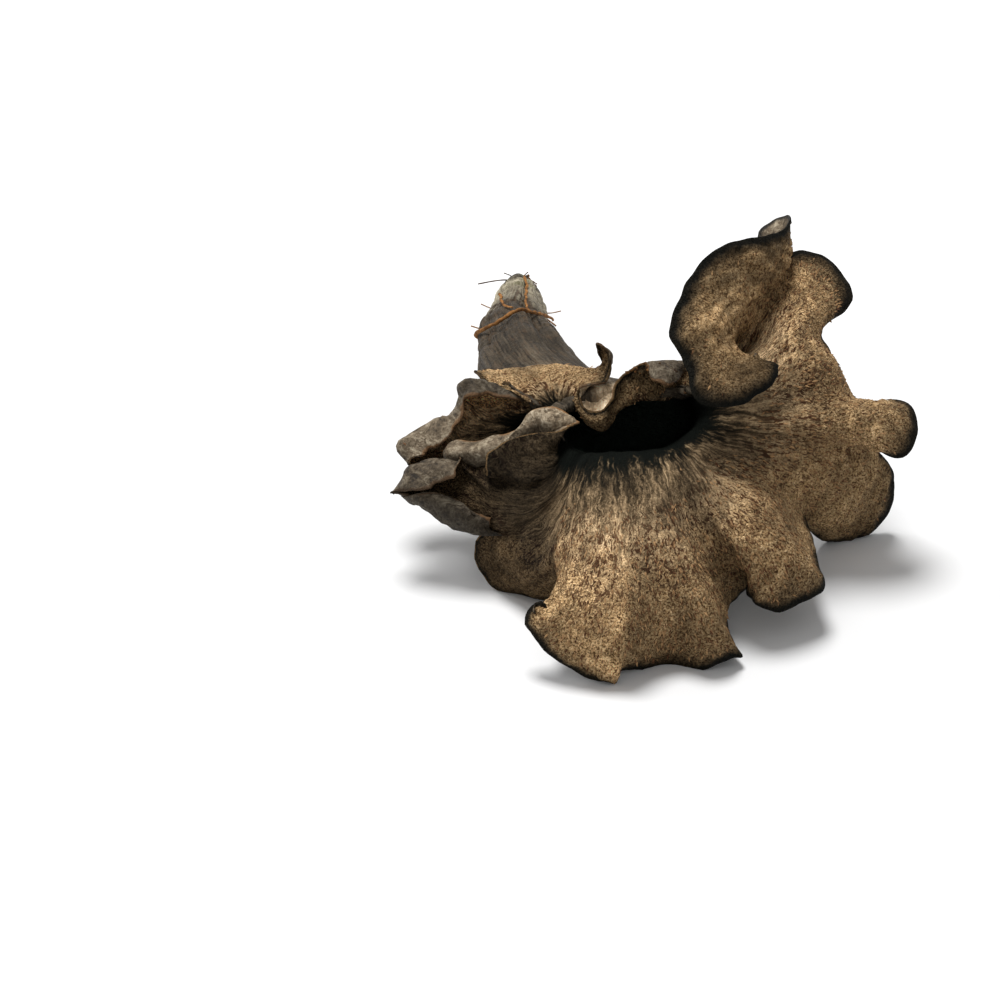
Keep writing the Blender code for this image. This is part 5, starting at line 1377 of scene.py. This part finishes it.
surfacePlaces = np.concatenate([capFace["place"].reshape(-1, 3), stemFace["place"].reshape(-1, 3)])
crumbRandom = np.random.default_rng(crumbs["seed"])
for name in crumbSpots:
    bits = makeCrumbs(name, crumbRandom)
    bits.data.materials.append(plainFinish(*crumbs[name]))
    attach(bits, "root")
steps, threads = rootlets["steps"], rootlets["threads"]
bodies = [tube(curvePoints(toWorld(np.array(drawn)), np.linspace(0, 1, steps)), np.full(steps, radius),
               rootlets["sides"], rootlets["knobs"], seeds["rootlets"] + k)
          for k, (drawn, radius) in enumerate(threads)]
hairs = joinedTubes("rootlets", bodies, [0.2 + 0.1 * k for k in range(len(threads))])
hairs.data.materials.append(plainFinish(*rootlets["finish"]))
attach(hairs, "root")
print("stage: crumbs and rootlets")

# Floor, lights and camera
studio = {
    "floor": ((240, 240, 240), (238, 238, 238)),
    "floorSize": 3.0,  # half its side, in metres
    "surround": 0.42,
    # energy, size and place in metres
    "lights": {"key_softbox": (8.4, 0.4, (-0.12, 0.26, 0.9)), "left_softbox": (1.0, 0.3, (-0.6, 0.25, 0.5))},
    "target": (0.0, 0.0, 0.02),
}


def makeFloor():
    # a flat square with a faint mottle
    finish = Finish("pale_floor", 0.9, 0.1)
    noise = finish.noise(finish.objectPlace(), 3.0, 2.0, 0.55)
    base = finish.blend(noise.rise(0.3, 0.7), *(colour(*shade) for shade in studio["floor"]))
    finish.feed(finish.shader.inputs["Base Color"], base)
    corners = np.array([(-1, -1, 0), (1, -1, 0), (1, 1, 0), (-1, 1, 0)]) * studio["floorSize"]
    floor = addPiece("floor", corners, [[0, 1, 2, 3]], {})
    floor.data.materials.append(finish.material)


def makeLight(name, energy, size, place):
    # a round lamp that looks from its place at the target
    lamp = bpy.data.lights.new(name, "AREA")
    lamp.shape = "DISK"
    lamp.size = size
    lamp.energy = energy
    made = bpy.data.objects.new(name, lamp)
    away = Vector(place) - Vector(studio["target"])
    made.matrix_world = Matrix.Translation(place) @ away.to_track_quat("Z", "Y").to_matrix().to_4x4()
    bpy.context.scene.collection.objects.link(made)


def makeCamera():
    # stands at the viewer's place and looks along the drawing's depth
    sine, cosine = viewAngles()
    right, up, toward = Vector((1, 0, 0)), Vector((0, sine, cosine)), Vector((0, -cosine, sine))
    far, level = drawing["viewerDistance"], drawing["viewUp"]
    eye = np.array([drawing["viewRight"], sine * level - cosine * far,
                    drawing["zeroHeight"] + cosine * level + sine * far]) * drawing["unit"]
    camera = bpy.data.cameras.new("camera")
    camera.angle = 2 * math.atan(drawing["halfView"] / far)
    camera.clip_end = 20.0
    made = bpy.data.objects.new("camera", camera)
    turned = Matrix((right, up, toward)).transposed().to_4x4()
    turned.translation = Vector((eye + np.array(drawing["shift"])).tolist())
    made.matrix_world = turned
    bpy.context.scene.collection.objects.link(made)
    bpy.context.scene.camera = made


makeFloor()
for name, (energy, size, place) in studio["lights"].items():
    makeLight(name, energy, size, place)
makeCamera()
world = bpy.data.worlds.new("surround")
bpy.context.scene.world = world
world.use_nodes = True
background = world.node_tree.nodes["Background"].inputs
background[0].default_value = (1, 1, 1, 1)
background[1].default_value = studio["surround"]
bpy.context.scene.view_settings.view_transform = "Standard"
print("stage: studio")
